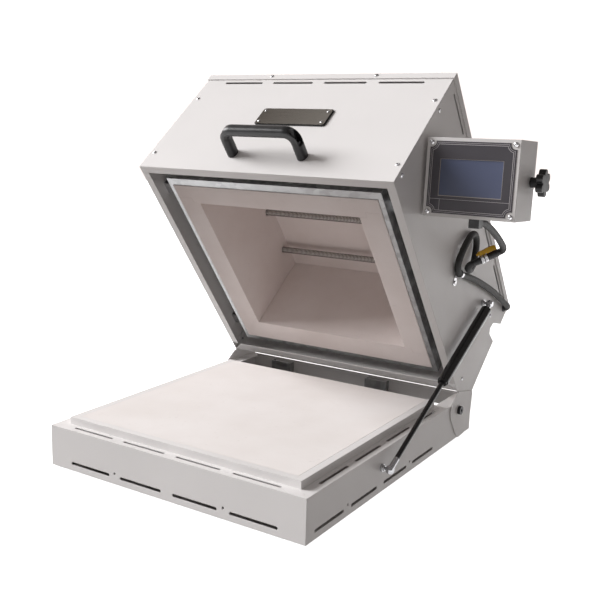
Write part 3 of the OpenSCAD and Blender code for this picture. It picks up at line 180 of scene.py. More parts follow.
class Graph:
    """A material and short calls that build its nodes."""

    def __init__(self, name: str) -> None:
        """Makes an empty material with a principled surface.

        Args:
            name: the material's name.
        """
        self.material = bpy.data.materials.new(name)
        self.material.use_nodes = True
        self.tree = self.material.node_tree
        self.tree.nodes.clear()
        self.surface = self.add("ShaderNodeBsdfPrincipled")
        self.join(self.surface, self.add("ShaderNodeOutputMaterial"), 0, 0)

    def add(self, kind: str, inputs: Optional[dict] = None, **settings) -> bpy.types.Node:
        """Adds one node.

        Args:
            kind: the node's type name.
            inputs: input name or number to a value or another node's socket.
            **settings: attributes of the node.

        Returns:
            The node.
        """
        node = self.tree.nodes.new(kind)
        for key, value in settings.items():
            setattr(node, key, value)
        for key, value in (inputs or {}).items():
            if isinstance(value, bpy.types.NodeSocket):
                self.tree.links.new(value, node.inputs[key])
            else:
                node.inputs[key].default_value = value
        return node

    def join(self, a: bpy.types.Node, b: bpy.types.Node, out: int | str, into: int | str) -> None:
        """Links output out of node a to input into of node b."""
        self.tree.links.new(a.outputs[out], b.inputs[into])

    def place(self) -> bpy.types.NodeSocket:
        """Gives the place on the object in metres."""
        return self.add("ShaderNodeTexCoord").outputs["Object"]

    def stretched(self, scale: Triple, turn: Triple = (0, 0, 0)) -> bpy.types.NodeSocket:
        """Gives the place on the object, turned and stretched.

        Args:
            scale: stretch along each axis.
            turn: turn about each axis in degrees.

        Returns:
            The place's socket.
        """
        return self.add(
            "ShaderNodeMapping",
            {"Vector": self.place(), "Scale": scale, "Rotation": [math.radians(t) for t in turn]},
        ).outputs[0]

    def noise(
        self, scale: float, detail: float = 3, vector: Optional[bpy.types.NodeSocket] = None
    ) -> bpy.types.NodeSocket:
        """Gives a noise value around 0.5 with features of about 1 / scale metres."""
        inputs = {"Scale": scale, "Detail": detail, "Vector": vector or self.place()}
        return self.add("ShaderNodeTexNoise", inputs).outputs[0]

    def maths(self, operation: str, *values) -> bpy.types.NodeSocket:
        """Gives the result of one arithmetic node.

        Args:
            operation: the node's operation.
            *values: its values or sockets, in order.

        Returns:
            The result's socket.
        """
        return self.add(
            "ShaderNodeMath", dict(enumerate(values)), operation=operation
        ).outputs[0]

    def spread(
        self, value, low: float, high: float, a: float = 0, b: float = 1
    ) -> bpy.types.NodeSocket:
        """Maps value from low..high to a..b, clamped."""
        inputs = {0: value, 1: low, 2: high, 3: a, 4: b}
        return self.add("ShaderNodeMapRange", inputs).outputs[0]

    def mix(self, share, a, b) -> bpy.types.NodeSocket:
        """Mixes two colours; share 0 gives a, and 1 gives b."""
        node = self.add("ShaderNodeMix", {0: share, 6: a, 7: b}, data_type="RGBA")
        return node.outputs[2]

    def rounded(self, radius: float) -> bpy.types.NodeSocket:
        """Gives a normal that rounds the edges by radius in metres."""
        return self.add("ShaderNodeBevel", {"Radius": radius}, samples=6).outputs[0]

    def bump(
        self, height, distance: float, normal: Optional[bpy.types.NodeSocket] = None,
        strength: float = 1.0,
    ) -> bpy.types.NodeSocket:
        """Gives a normal bent by a height whose 0..1 stands for distance in metres.

        Args:
            height: a socket of the height.
            distance: depth of the relief in metres.
            normal: a normal to start from.
            strength: share of the relief that is kept.

        Returns:
            The normal's socket.
        """
        inputs = {"Height": height, "Distance": distance, "Strength": strength}
        if normal is not None:
            inputs["Normal"] = normal
        return self.add("ShaderNodeBump", inputs).outputs[0]

    def finish(self, **values) -> bpy.types.Material:
        """Sets the principled surface's inputs, by name with spaces as underscores.

        Args:
            **values: values or sockets.

        Returns:
            The material.
        """
        for key, value in values.items():
            socket = self.surface.inputs[key.replace("_", " ")]
            if isinstance(value, bpy.types.NodeSocket):
                self.tree.links.new(value, socket)
            else:
                socket.default_value = value
        return self.material


# ---------------------------------------------------------------- finishes


@dataclass(frozen=True)
class CoatFinish:
    """Powder coat or paint: a fine orange-peel skin that thins at rounded edges.

    Attributes:
        colour: display colour in 0 to 255.
        roughness: mean roughness.
        grain: features of the skin per metre.
        relief: depth of the skin in metres.
        edge: radius of the sheet's edges in metres.
    """

    colour: Triple = (232, 230, 229)
    roughness: float = 0.42
    grain: float = 1100
    relief: float = 0.00004
    edge: float = 0.0009

    def build(self, name: str) -> bpy.types.Material:
        """Builds the material.

        Args:
            name: the material's name.

        Returns:
            The material.
        """
        g = Graph(name)
        clouds = g.spread(g.noise(6, 2), 0.3, 0.7)
        shade = [c * 0.985 for c in self.colour]
        colour = g.mix(clouds, linear(shade), linear(self.colour))
        skin = g.noise(self.grain, 2)
        rough = g.spread(g.noise(45, 3), 0.3, 0.7, self.roughness - 0.04, self.roughness + 0.04)
        normal = g.bump(skin, self.relief, g.rounded(self.edge))
        return g.finish(Base_Color=colour, Roughness=rough, Normal=normal, IOR=1.5)


@dataclass(frozen=True)
class FibreFinish:
    """Rigid ceramic fibre board: felted, matt, with faint blotches and small pits."""

    colour: Triple = (241, 232, 229)
    blotch: Triple = (232, 221, 217)
    mark: Triple = (214, 203, 198)
    mark_amount: float = 0.25

    def build(self, name: str) -> bpy.types.Material:
        """Builds the material.

        Args:
            name: the material's name.

        Returns:
            The material.
        """
        g = Graph(name)
        blotches = g.spread(g.noise(9, 4), 0.35, 0.7)
        colour = g.mix(blotches, linear(self.colour), linear(self.blotch))
        specks = g.spread(g.noise(160, 2), 0.66, 0.8, 0, self.mark_amount)
        colour = g.mix(specks, colour, linear(self.mark))
        felt = g.noise(900, 4)
        fibres = g.noise(1, 3, g.stretched((260, 900, 900), (0, 0, 20)))
        height = g.maths("ADD", g.maths("MULTIPLY", felt, 0.6), g.maths("MULTIPLY", fibres, 0.4))
        pits = g.spread(g.noise(240, 1), 0.68, 0.76, 1, 0)
        height = g.maths("MULTIPLY", height, g.spread(pits, 0, 1, 0.4, 1))
        normal = g.bump(height, 0.00025, g.rounded(0.0012))
        return g.finish(Base_Color=colour, Roughness=0.95, Normal=normal, Specular_IOR_Level=0.2)


@dataclass(frozen=True)
class SpangleFinish:
    """Galvanised sheet: a mosaic of zinc crystals with a soft shine."""

    colour: Triple = (176, 177, 178)
    spangle: float = 95

    def build(self, name: str) -> bpy.types.Material:
        """Builds the material.

        Args:
            name: the material's name.

        Returns:
            The material.
        """
        g = Graph(name)
        cells = g.add("ShaderNodeTexVoronoi", {"Scale": self.spangle, "Vector": g.place()})
        value = g.add("ShaderNodeSeparateColor", {0: cells.outputs["Color"]}).outputs[0]
        dark = [c * 0.82 for c in self.colour]
        colour = g.mix(g.spread(value, 0, 1, 0.1, 0.9), linear(dark), linear(self.colour))
        rough = g.spread(value, 0, 1, 0.36, 0.52)
        normal = g.bump(g.noise(500, 2), 0.00003, g.rounded(0.0005))
        return g.finish(Base_Color=colour, Roughness=rough, Metallic=0.85, Normal=normal)


@dataclass(frozen=True)
class MetalFinish:
    """Plated or plain metal with fine streaks.

    Attributes:
        colour: display colour in 0 to 255.
        roughness: mean roughness.
        stretch: streak frequency along X, Y and Z per metre.
        relief: depth of the streaks in metres.
        edge: radius of the edges in metres.
        metal: 1 for bare metal, less under a film.
    """

    colour: Triple = (205, 205, 207)
    roughness: float = 0.22
    stretch: Triple = (300, 300, 300)
    relief: float = 0.00002
    edge: float = 0.0004
    metal: float = 1.0

    def build(self, name: str) -> bpy.types.Material:
        """Builds the material.

        Args:
            name: the material's name.

        Returns:
            The material.
        """
        g = Graph(name)
        streaks = g.noise(1, 3, g.stretched(self.stretch))
        dark = [c * 0.86 for c in self.colour]
        colour = g.mix(g.spread(streaks, 0.35, 0.65), linear(dark), linear(self.colour))
        rough = g.spread(streaks, 0.3, 0.7, self.roughness * 0.8, self.roughness * 1.2)
        normal = g.bump(streaks, self.relief, g.rounded(self.edge))
        return g.finish(Base_Color=colour, Roughness=rough, Metallic=self.metal, Normal=normal)


@dataclass(frozen=True)
class StrutFinish:
    """Glossy black strut with a plated end fitting round its ball.

    Attributes:
        ball: middle of the lower ball in the row frame, in metres; the tube gives the upper one.
        reach: length of the plated fitting from the ball, in metres.
        colour: display colour of the black part.
        plate: display colour of the fitting.
    """

    ball: Triple = (0.25, -0.0688, 0.0392)
    reach: float = 0.024
    colour: Triple = (17, 16, 17)
    plate: Triple = (205, 206, 210)

    def build(self, name: str) -> bpy.types.Material:
        """Builds the material.

        Args:
            name: the material's name.

        Returns:
            The material.
        """
        g = Graph(name)
        away = g.add("ShaderNodeVectorMath", {0: g.place(), 1: self.ball}, operation="DISTANCE")
        black = g.spread(away.outputs["Value"], self.reach, self.reach + 0.0002)
        streaks = g.noise(420, 3)
        plate = g.mix(streaks, linear([c * 0.85 for c in self.plate]), linear(self.plate))
        colour = g.mix(black, plate, linear(self.colour))
        normal = g.bump(streaks, 0.00001, g.rounded(0.0006))
        return g.finish(Base_Color=colour, Roughness=g.spread(black, 0, 1, 0.16, 0.22),
                        Metallic=g.spread(black, 0, 1, 1.0, 0.0), Normal=normal)


@dataclass(frozen=True)
class BrushedFinish:
    """Brushed stainless plate, whose grain runs along X, with a painted reflection that makes it
    lighter to the right.
    """

    colour: Triple = (118, 112, 104)
    # light is the painted reflection's colour, reached at the plate's right end.
    light: Triple = (186, 182, 174)
    half_width: float = 0.065

    def build(self, name: str) -> bpy.types.Material:
        """Builds the material.

        Args:
            name: the material's name.

        Returns:
            The material.
        """
        g = Graph(name)
        grain = g.noise(1, 4, g.stretched((25, 2600, 2600)))
        x = g.add("ShaderNodeSeparateXYZ", {0: g.place()}).outputs[0]
        # Painted reflection: the colour runs lighter towards +X, standing in for the light the
        # plate mirrors.
        painted_reflection_share = g.spread(x, -self.half_width, self.half_width, 0, 0.8)
        base = g.mix(painted_reflection_share, linear(self.colour), linear(self.light))
        colour = g.mix(g.spread(grain, 0.3, 0.7, 0, 0.35), base, linear((110, 107, 102)))
        normal = g.bump(grain, 0.00003, g.rounded(0.0004))
        rough = g.spread(grain, 0.3, 0.7, 0.26, 0.4)
        return g.finish(Base_Color=colour, Roughness=rough, Metallic=1.0, Normal=normal)


@dataclass(frozen=True)
class MouldedFinish:
    """Moulded plastic or rubber with a fine spark-eroded texture."""

    colour: Triple = (36, 36, 38)
    roughness: float = 0.45
    grain: float = 1400
    relief: float = 0.00004
    edge: float = 0.0006

    def build(self, name: str) -> bpy.types.Material:
        """Builds the material.

        Args:
            name: the material's name.

        Returns:
            The material.
        """
        g = Graph(name)
        worn = g.spread(g.noise(60, 3), 0.45, 0.75, 0, 0.5)
        light = [min(255, c * 1.15 + 5) for c in self.colour]
        colour = g.mix(worn, linear(self.colour), linear(light))
        rough = g.spread(g.noise(90, 2), 0.3, 0.7, self.roughness - 0.06, self.roughness + 0.06)
        normal = g.bump(g.noise(self.grain, 2), self.relief, g.rounded(self.edge))
        return g.finish(Base_Color=colour, Roughness=rough, Normal=normal)


@dataclass(frozen=True)
class BraidFinish:
    """Woven sleeve: two sets of yarns that cross, laid out along the piece's own coordinates.

    Attributes:
        colour: display colour of a yarn's crown.
        gap: display colour between the yarns.
        yarns: yarns round the sleeve.
        pitch: length of one crossing in metres.
    """

    colour: Triple = (23, 21, 20)
    gap: Triple = (5, 5, 5)
    yarns: float = 14
    pitch: float = 0.0026

    def build(self, name: str) -> bpy.types.Material:
        """Builds the material.

        Args:
            name: the material's name.

        Returns:
            The material.
        """
        g = Graph(name)
        uv = g.add("ShaderNodeSeparateXYZ", {0: g.add("ShaderNodeTexCoord").outputs["UV"]})
        along = g.maths("MULTIPLY", uv.outputs[0], math.pi / self.pitch)
        round_ = g.maths("MULTIPLY", uv.outputs[1], math.pi * self.yarns)
        first = g.maths("ABSOLUTE", g.maths("SINE", g.maths("ADD", along, round_)))
        second = g.maths("ABSOLUTE", g.maths("SINE", g.maths("SUBTRACT", along, round_)))
        over = g.maths("MAXIMUM", g.maths("POWER", first, 0.6), g.maths("POWER", second, 0.6))
        weave = g.maths("MULTIPLY", over, g.maths("ADD", g.maths("MULTIPLY", g.maths(
            "MULTIPLY", first, second), 0.5), 0.5))
        fuzz = g.noise(1800, 2)
        colour = g.mix(g.spread(weave, 0.3, 0.9), linear(self.gap), linear(self.colour))
        height = g.maths("ADD", weave, g.maths("MULTIPLY", fuzz, 0.15))
        normal = g.bump(height, 0.0005)
        return g.finish(Base_Color=colour, Roughness=0.62, Normal=normal, Sheen_Weight=0.12)


@dataclass(frozen=True)
class ScreenFinish:
    """Display glass: an even blue-grey with a painted reflection that makes it a little lighter to
    the right.
    """

    colour: Triple = (74, 84, 112)
    # light is the painted reflection's colour, reached at the screen's right edge.
    light: Triple = (92, 100, 128)
    centre: Triple = (0.312, 0.02, 0.462)
    half_width: float = 0.048

    def build(self, name: str) -> bpy.types.Material:
        """Builds the material.

        Args:
            name: the material's name.

        Returns:
            The material.
        """
        g = Graph(name)
        x = g.add("ShaderNodeSeparateXYZ", {0: g.place()}).outputs[0]
        low, high = self.centre[0] - self.half_width, self.centre[0] + self.half_width
        # Painted reflection: the colour runs lighter towards +X, with random mottling, standing in
        # for the light the glass mirrors.
        painted_reflection_share = g.spread(x, low, high, 0.1, 0.9)
        painted_reflection_mottle = g.spread(g.noise(30, 2), 0.3, 0.7, -0.08, 0.08)
        share = g.maths("ADD", painted_reflection_share, painted_reflection_mottle)
        colour = g.mix(share, linear(self.colour), linear(self.light))
        normal = g.bump(g.noise(1500, 1), 0.000004)
        return g.finish(
            Base_Color=colour, Roughness=0.3, Normal=normal, Coat_Weight=0.35, Coat_Roughness=0.12
        )


@dataclass(frozen=True)
class BoardFinish:
    """Circuit board: lacquer over copper tracks."""

    colour: Triple = (18, 92, 48)
    track: Triple = (30, 122, 66)

    def build(self, name: str) -> bpy.types.Material:
        """Builds the material.

        Args:
            name: the material's name.

        Returns:
            The material.
        """
        g = Graph(name)
        brick = g.add(
            "ShaderNodeTexBrick",
            {"Vector": g.stretched((1, 1, 1), (90, 0, 0)), "Scale": 120.0, "Mortar Size": 0.012,
             "Color1": linear(self.colour), "Color2": linear(self.colour),
             "Mortar": linear(self.track)},
        )
        normal = g.bump(brick.outputs[1], 0.0001)
        return g.finish(Base_Color=brick.outputs[0], Roughness=0.35, Normal=normal)


UPPER_BALL = (0.25, 0.30966, 0.228148)

FINISHES = {
    Slot.COAT: CoatFinish(),
    Slot.GALVANISED: SpangleFinish(),
    Slot.ZINC: MetalFinish(),
    Slot.FIBRE: FibreFinish(),
    Slot.HEARTH: FibreFinish(colour=(240, 236, 234), blotch=(234, 229, 226), mark=(205, 198, 192)),
    Slot.ROD: MouldedFinish(colour=(240, 237, 232), roughness=0.5, grain=700),
    Slot.WIRE: MetalFinish(colour=(132, 124, 121), roughness=0.55, relief=0.00005, metal=0.5),
    Slot.RUBBER: MouldedFinish(colour=(28, 28, 29), roughness=0.7, grain=900),
    Slot.PLASTIC: MouldedFinish(),
    Slot.BRAID: BraidFinish(),
    Slot.OXIDE: MetalFinish(colour=(58, 58, 61), roughness=0.36, metal=0.7),
    Slot.BRONZE: MetalFinish(colour=(176, 134, 84), roughness=0.42, relief=0.00006),
    Slot.STAINLESS: BrushedFinish(),
    Slot.PAINT: CoatFinish(colour=(26, 26, 28), roughness=0.24, grain=500, relief=0.00002),
    Slot.LABEL: CoatFinish(colour=(66, 63, 69), roughness=0.4, grain=2600, relief=0.00001,
                           edge=0.0002),
    Slot.SCREEN: ScreenFinish(),
    Slot.BOARD: BoardFinish(),
    Slot.TERMINAL: MouldedFinish(colour=(228, 222, 204), roughness=0.5),
    Slot.YELLOW: MouldedFinish(colour=(222, 172, 10), roughness=0.4),
}


class Palette:
    """Builds each finish once and hands it out."""

    def __init__(self) -> None:
        """Starts with no material built."""
        self.made: dict[str, bpy.types.Material] = {}

    def of(self, slot: Slot) -> bpy.types.Material:
        """Gives the material of a slot.

        Args:
            slot: the record's slot.

        Returns:
            The material.
        """
        return self.special(slot.value, FINISHES[slot])

    def special(self, name: str, finish) -> bpy.types.Material:
        """Gives a material of its own for a piece.

        Args:
            name: the material's name.
            finish: the finish that builds it.

        Returns:
            The material.
        """
        if name not in self.made:
            self.made[name] = finish.build(name)
        return self.made[name]


PALETTE = Palette()


# ---------------------------------------------------------------- mesh makers


@dataclass
class Shape:
    """A mesh in the making: points, faces and, per face corner, flat coordinates."""

    points: list
    faces: list
    flat: Optional[list] = None

    def moved(self, matrix: Matrix) -> "Shape":
        """Gives the shape moved by a matrix."""
        return Shape([matrix @ Vector(p) for p in self.points], self.faces, self.flat)

    def __add__(self, other: "Shape") -> "Shape":
        """Joins two shapes into one.

        Args:
            other: the shape that is added.

        Returns:
            One shape.
        """
        base = len(self.points)
        shifted = [[i + base for i in face] for face in other.faces]
        flat = None if self.flat is None or other.flat is None else self.flat + other.flat
        return Shape([*self.points, *other.points], [*self.faces, *shifted], flat)

    def to_object(self, name: str, smooth: float = 40) -> bpy.types.Object:
        """Makes a Blender object of the shape.

        Args:
            name: the object's name.
            smooth: faces that meet at less than this angle in degrees are shaded as one.

        Returns:
            The object, linked to the scene.
        """
        mesh = bpy.data.meshes.new(name)
        mesh.from_pydata([tuple(p) for p in self.points], [], self.faces)
        if self.flat is not None:
            layer = mesh.uv_layers.new(name="along")
            layer.data.foreach_set("uv", np.array(self.flat, np.float32).ravel())
        mesh.validate()
        work = bmesh.new()
        work.from_mesh(mesh)
        bmesh.ops.recalc_face_normals(work, faces=work.faces)
        work.to_mesh(mesh)
        work.free()
        mesh.polygons.foreach_set("use_smooth", [True] * len(mesh.polygons))
        mesh.set_sharp_from_angle(angle=math.radians(smooth))
        made = bpy.data.objects.new(name, mesh)
        bpy.context.scene.collection.objects.link(made)
        return made


def total(shapes: Iterable[Shape]) -> Shape:
    """Joins several shapes into one.

    Args:
        shapes: the shapes, in order.

    Returns:
        One shape.
    """
    result = None
    for shape in shapes:
        result = shape if result is None else result + shape
    return result


def revolved(profile: Sequence[tuple[float, float]], sides: int = 48, knurl: float = 0,
             knurled: tuple[float, float] = (0, 0)) -> Shape:
    """Turns a profile about the third axis, in millimetres.

    Args:
        profile: radius and height, from one end to the other; a radius of 0 closes an end.
        sides: sides round the axis.
        knurl: depth of the knurl.
        knurled: heights between which the surface is knurled.

    Returns:
        The shape in metres.
    """
    points, faces = [], []
    for r, z in profile:
        cut = knurl if knurled[0] <= z <= knurled[1] else 0
        for i in range(sides):
            a = 2 * math.pi * i / sides
            q = r - (cut if i % 2 else 0)
            points.append(Vector((q * math.cos(a), q * math.sin(a), z)) * MM)
    for k in range(len(profile) - 1):
        for i in range(sides):
            j = (i + 1) % sides
            faces.append([k * sides + i, k * sides + j, (k + 1) * sides + j, (k + 1) * sides + i])
    faces.append(list(range(sides)))
    faces.append([(len(profile) - 1) * sides + i for i in range(sides)])
    return Shape(points, faces)


def smooth_line(route: Sequence[Sequence[float]], steps: int) -> list[Vector]:
    """Gives a smooth curve through chosen points.

    Args:
        route: the points.
        steps: steps from each point to the next.

    Returns:
        The points of the curve.
    """
    p = [Vector(q) for q in route]
    line = []
    for i in range(len(p) - 1):
        a, b, c, d = p[max(i - 1, 0)], p[i], p[i + 1], p[min(i + 2, len(p) - 1)]
        for k in range(steps):
            s = k / steps
            line.append(0.5 * (2 * b + (c - a) * s + (2 * a - 5 * b + 4 * c - d) * s * s
                               + (3 * b - a - 3 * c + d) * s * s * s))
    return [*line, p[-1]]


def swept(line: Sequence[Vector], radius: float, sides: int) -> Shape:
    """Sweeps a circle along a line of points in metres, with coordinates along and round it.

    Args:
        line: the points.
        radius: the tube's radius in metres.
        sides: sides round the tube.

    Returns:
        The shape, whose flat coordinates are metres along and 0 to 1 round.
    """
    count = len(line)
    ways = [(line[min(i + 1, count - 1)] - line[max(i - 1, 0)]).normalized() for i in range(count)]
    side = ways[0].orthogonal().normalized()
    points, faces, flat, run = [], [], [], [0.0]
    for i in range(count):
        side = (side - side.dot(ways[i]) * ways[i]).normalized()
        other = ways[i].cross(side)
        for s in range(sides):
            a = 2 * math.pi * s / sides
            points.append(line[i] + radius * (math.cos(a) * side + math.sin(a) * other))
        if i:
            run.append(run[-1] + (line[i] - line[i - 1]).length)
    for i in range(count - 1):
        for s in range(sides):
            e = (s + 1) % sides
            faces.append([i * sides + s, i * sides + e, (i + 1) * sides + e, (i + 1) * sides + s])
            flat += [(run[i], s / sides), (run[i], (s + 1) / sides),
                     (run[i + 1], (s + 1) / sides), (run[i + 1], s / sides)]
    for start, where in ((0, run[0]), ((count - 1) * sides, run[-1])):
        faces.append([start + s for s in range(sides)])
        flat += [(where, s / sides) for s in range(sides)]
    return Shape(points, faces, flat)


def slab(low: Triple, high: Triple, edge: float, steps: int = 2) -> Shape:
    """Makes a box with rounded edges, in millimetres.

    Args:
        low: lowest corner.
        high: highest corner.
        edge: radius of the edges.
        steps: faces across each rounded edge.

    Returns:
        The shape in metres.
    """
    work = bmesh.new()
    bmesh.ops.create_cube(work, size=1)
    for v in work.verts:
        v.co = Vector([low[i] + (v.co[i] + 0.5) * (high[i] - low[i]) for i in range(3)]) * MM
    bmesh.ops.bevel(work, geom=work.edges[:], offset=edge * MM, segments=steps, profile=0.5,
                    affect="EDGES")
    work.verts.index_update()
    faces = [[v.index for v in f.verts] for f in work.faces]
    shape = Shape([v.co.copy() for v in work.verts], faces)
    work.free()
    return shape


def ribbon(outer: Sequence[tuple[float, float]], inner: Sequence[tuple[float, float]],
           depth: float) -> Shape:
    """Makes a flat closed band between two outlines of equal length, in millimetres.

    Args:
        outer: the outer outline in the plane of X and Z.
        inner: the inner outline.
        depth: thickness of the band, from 0 towards -Y.

    Returns:
        The shape in metres.
    """
    count = len(outer)
    rings = [[Vector((x, y, z)) * MM for x, z in line]
             for line, y in ((outer, 0), (outer, -depth), (inner, -depth), (inner, 0))]
    points = [p for ring in rings for p in ring]
    faces = []
    for k in range(4):
        n = (k + 1) % 4
        for i in range(count):
            j = (i + 1) % count
            faces.append([k * count + i, k * count + j, n * count + j, n * count + i])
    return Shape(points, faces)


def placed(piece: bpy.types.Object, body: Body, slot: Slot, replaced: Sequence[str] = (),
           material: Optional[bpy.types.Material] = None) -> bpy.types.Object:
    """Gives a piece its finish and its body.

    Args:
        piece: the piece, in place.
        body: the body that it rides on.
        slot: the record's slot that its finish comes from.
        replaced: CAD nodes that it stands for.
        material: a material of its own, or none for the slot's.

    Returns:
        The piece.
    """
    piece.data.materials.clear()
    piece.data.materials.append(material or PALETTE.of(slot))
    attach(piece, body.value)
    if replaced:
        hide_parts(*replaced)
    return piece


def softened(node: str, name: str, grain: float, rounds: int) -> bpy.types.Object:
    """Makes a moulded copy of a CAD node, with its edges melted round.

    Args:
        node: the CAD node whose form it takes.
        name: the piece's name.
        grain: size of the new faces in millimetres.
        rounds: how often the surface is smoothed.

    Returns:
        The piece.
    """
    piece = bpy.data.objects.new(name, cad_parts[node].data.copy())
    bpy.context.scene.collection.objects.link(piece)
    melt = piece.modifiers.new("melt", "REMESH")
    melt.mode, melt.voxel_size, melt.use_smooth_shade = "VOXEL", grain * MM, True
    relax = piece.modifiers.new("relax", "SMOOTH")
    relax.factor, relax.iterations = 0.5, rounds
    depsgraph = bpy.context.evaluated_depsgraph_get()
    mesh = bpy.data.meshes.new_from_object(piece.evaluated_get(depsgraph))
    piece.modifiers.clear()
    piece.data = mesh
    mesh.polygons.foreach_set("use_smooth", [True] * len(mesh.polygons))
    return piece


# ---------------------------------------------------------------- sub-assemblies


@dataclass(frozen=True)
class HeatingCoils:
    """Three coils of resistance wire, wound close on their ceramic rods.

    Attributes:
        half_mouth: half the width of the chamber.
        hole: depth of the wall hole that a coil's end sits in.
        radius: radius of the coil's middle line.
        wire: radius of the wire.
        turns: turns from end to end.
        steps: points of each turn.
        straight: length of each straight end.
        sag: how far the coil hangs in the middle.
        height: height of the coil's axis.
        places: distance of each coil behind the lid's front.
    """

    half_mouth: float = 152.5
    hole: float = 14
    radius: float = 5.2
    wire: float = 0.5
    turns: int = 112
    steps: int = 14
    straight: float = 4
    sag: float = 0.25
    height: float = 156.5
    places: tuple = (139.5, 238, 336.5)

    names = ("front", "middle", "rear")

    def line(self, place: float) -> list[Vector]:
        """Gives the wire's middle line in the lid's frame, in metres.

        Args:
            place: distance of the coil behind the lid's front.

        Returns:
            The line's points.
        """
        s = self
        end = s.half_mouth + s.hole
        reach = end - s.straight
        line = [(-end, place + s.radius, s.height), (-end + 2, place + s.radius, s.height)]
        count = s.turns * s.steps
        for i in range(count + 1):
            a = 2 * math.pi * i / s.steps
            sag = s.sag * math.sin(math.pi * i / count)
            line.append((-reach + 2 * reach * i / count, place + s.radius * math.cos(a),
                         s.height - sag + s.radius * math.sin(a)))
        line += [(end - 2, place + s.radius, s.height), (end, place + s.radius, s.height)]
        return [Vector(p) * MM for p in line]

    def build(self) -> list[bpy.types.Object]:
        """Builds the three coils.

        Returns:
            The pieces.
        """
        pieces = []
        for name, place in zip(self.names, self.places):
            shape = swept(self.line(place), self.wire * MM, 7).moved(LID)
            piece = shape.to_object(f"{name}_coil_wire", 60)
            pieces.append(placed(piece, Body.LID, Slot.WIRE, [f"{name}_heating_coil"]))
        return pieces


@dataclass(frozen=True)
class Leads:
    """The sleeved leads between the controller, the connector and the lid's rear.

    Attributes:
        radius: radius of a lead.
        half_w: distance of the lid's side from the middle.
        depth: depth of the lid's shell.
        gland: height of the gland in the lid's rear.
        wing_gland: distance behind the front and height of the gland in the wing.
        front: distance out from the side, distance from the front, height.
        side: distance out from the side, then distances behind and above the wing's gland.
        rear: distance out from the side, distance behind the shell, height above the rear gland.
        upper: distance out from the side, then Y and Z in the row frame.
    """

    radius: float = 5.5
    half_w: float = 236
    depth: float = 475
    gland: float = 226
    wing_gland: tuple = (512, 234)
    front: tuple = (
        (22, 280, 122), (18, 279.8, 117.7), (15, 283.5, 114.5), (14, 291, 117), (12.5, 298, 123),
        (11, 303, 132), (10, 305, 143), (8.5, 303, 155), (7.5, 298.5, 167), (7, 291, 176.5),
        (7, 281, 181.5), (7, 270, 180), (7.5, 261.5, 172), (8, 256.5, 160), (8.5, 254, 146),
        (8.5, 254, 131), (8, 256, 116), (7.3, 260.5, 103), (7, 268, 96), (7, 278, 96),
        (7, 290, 103), (7, 310, 119), (7, 343, 143), (7, 389, 173), (7, 440, 203),
    )
    side: tuple = (
        (8, -29, -11), (9, -17, -5.5), (9.3, -9, -2), (7.5, -2.2, -0.3), (2, 0, 0), (-5, 0, 0),
        (-12, 0, -0.5),
    )
    rear: tuple = ((-22, 30, 4), (-29, 22, 1.5), (-31, 12, 0), (-31, 4, 0), (-31, -4, 0))
    upper: tuple = (
        (75, 62.5, 400.3), (75, 74, 399.6), (75, 86, 398), (74, 104, 393), (72, 128, 385),
        (70, 150, 376.5), (67.5, 172, 368), (65.5, 191, 359.5), (63.5, 208, 351.5),
        (62, 219, 345.5), (60.5, 225.5, 340.5), (57.8, 226.8, 337.3), (54, 223.6, 335),
    )

    def lower_line(self) -> list[Vector]:
        """Gives the lower lead's middle line in the row frame, in metres.

        Returns:
            The line's points.
        """
        route = [(self.half_w + x, a, b) for x, a, b in self.front]
        wing_a, wing_b = self.wing_gland
        route += [(self.half_w + x, wing_a + a, wing_b + b) for x, a, b in self.side]
        route += [(self.half_w + x, self.depth + a, self.gland + b) for x, a, b in self.rear]
        return [LID @ (p * MM) for p in smooth_line(route, 6)]

    def upper_line(self) -> list[Vector]:
        """Gives the upper lead's middle line in the row frame, in metres."""
        route = [(self.half_w + x, y, z) for x, y, z in self.upper]
        return [p * MM for p in smooth_line(route, 6)]

    def build(self) -> list[bpy.types.Object]:
        """Builds both leads.

        Returns:
            The pieces.
        """
        radius = self.radius * MM
        lower = swept(self.lower_line(), radius, 24).to_object("sleeved_lead")
        placed(lower, Body.LID, Slot.BRAID, ["controller_lead"])
        line = self.upper_line()
        upper = swept(line, radius, 24).to_object("sleeved_upper_lead")
        upper.data.materials.append(PALETTE.of(Slot.BRAID))
        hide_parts("upper_lead")
        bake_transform(upper)
        return [lower, upper]


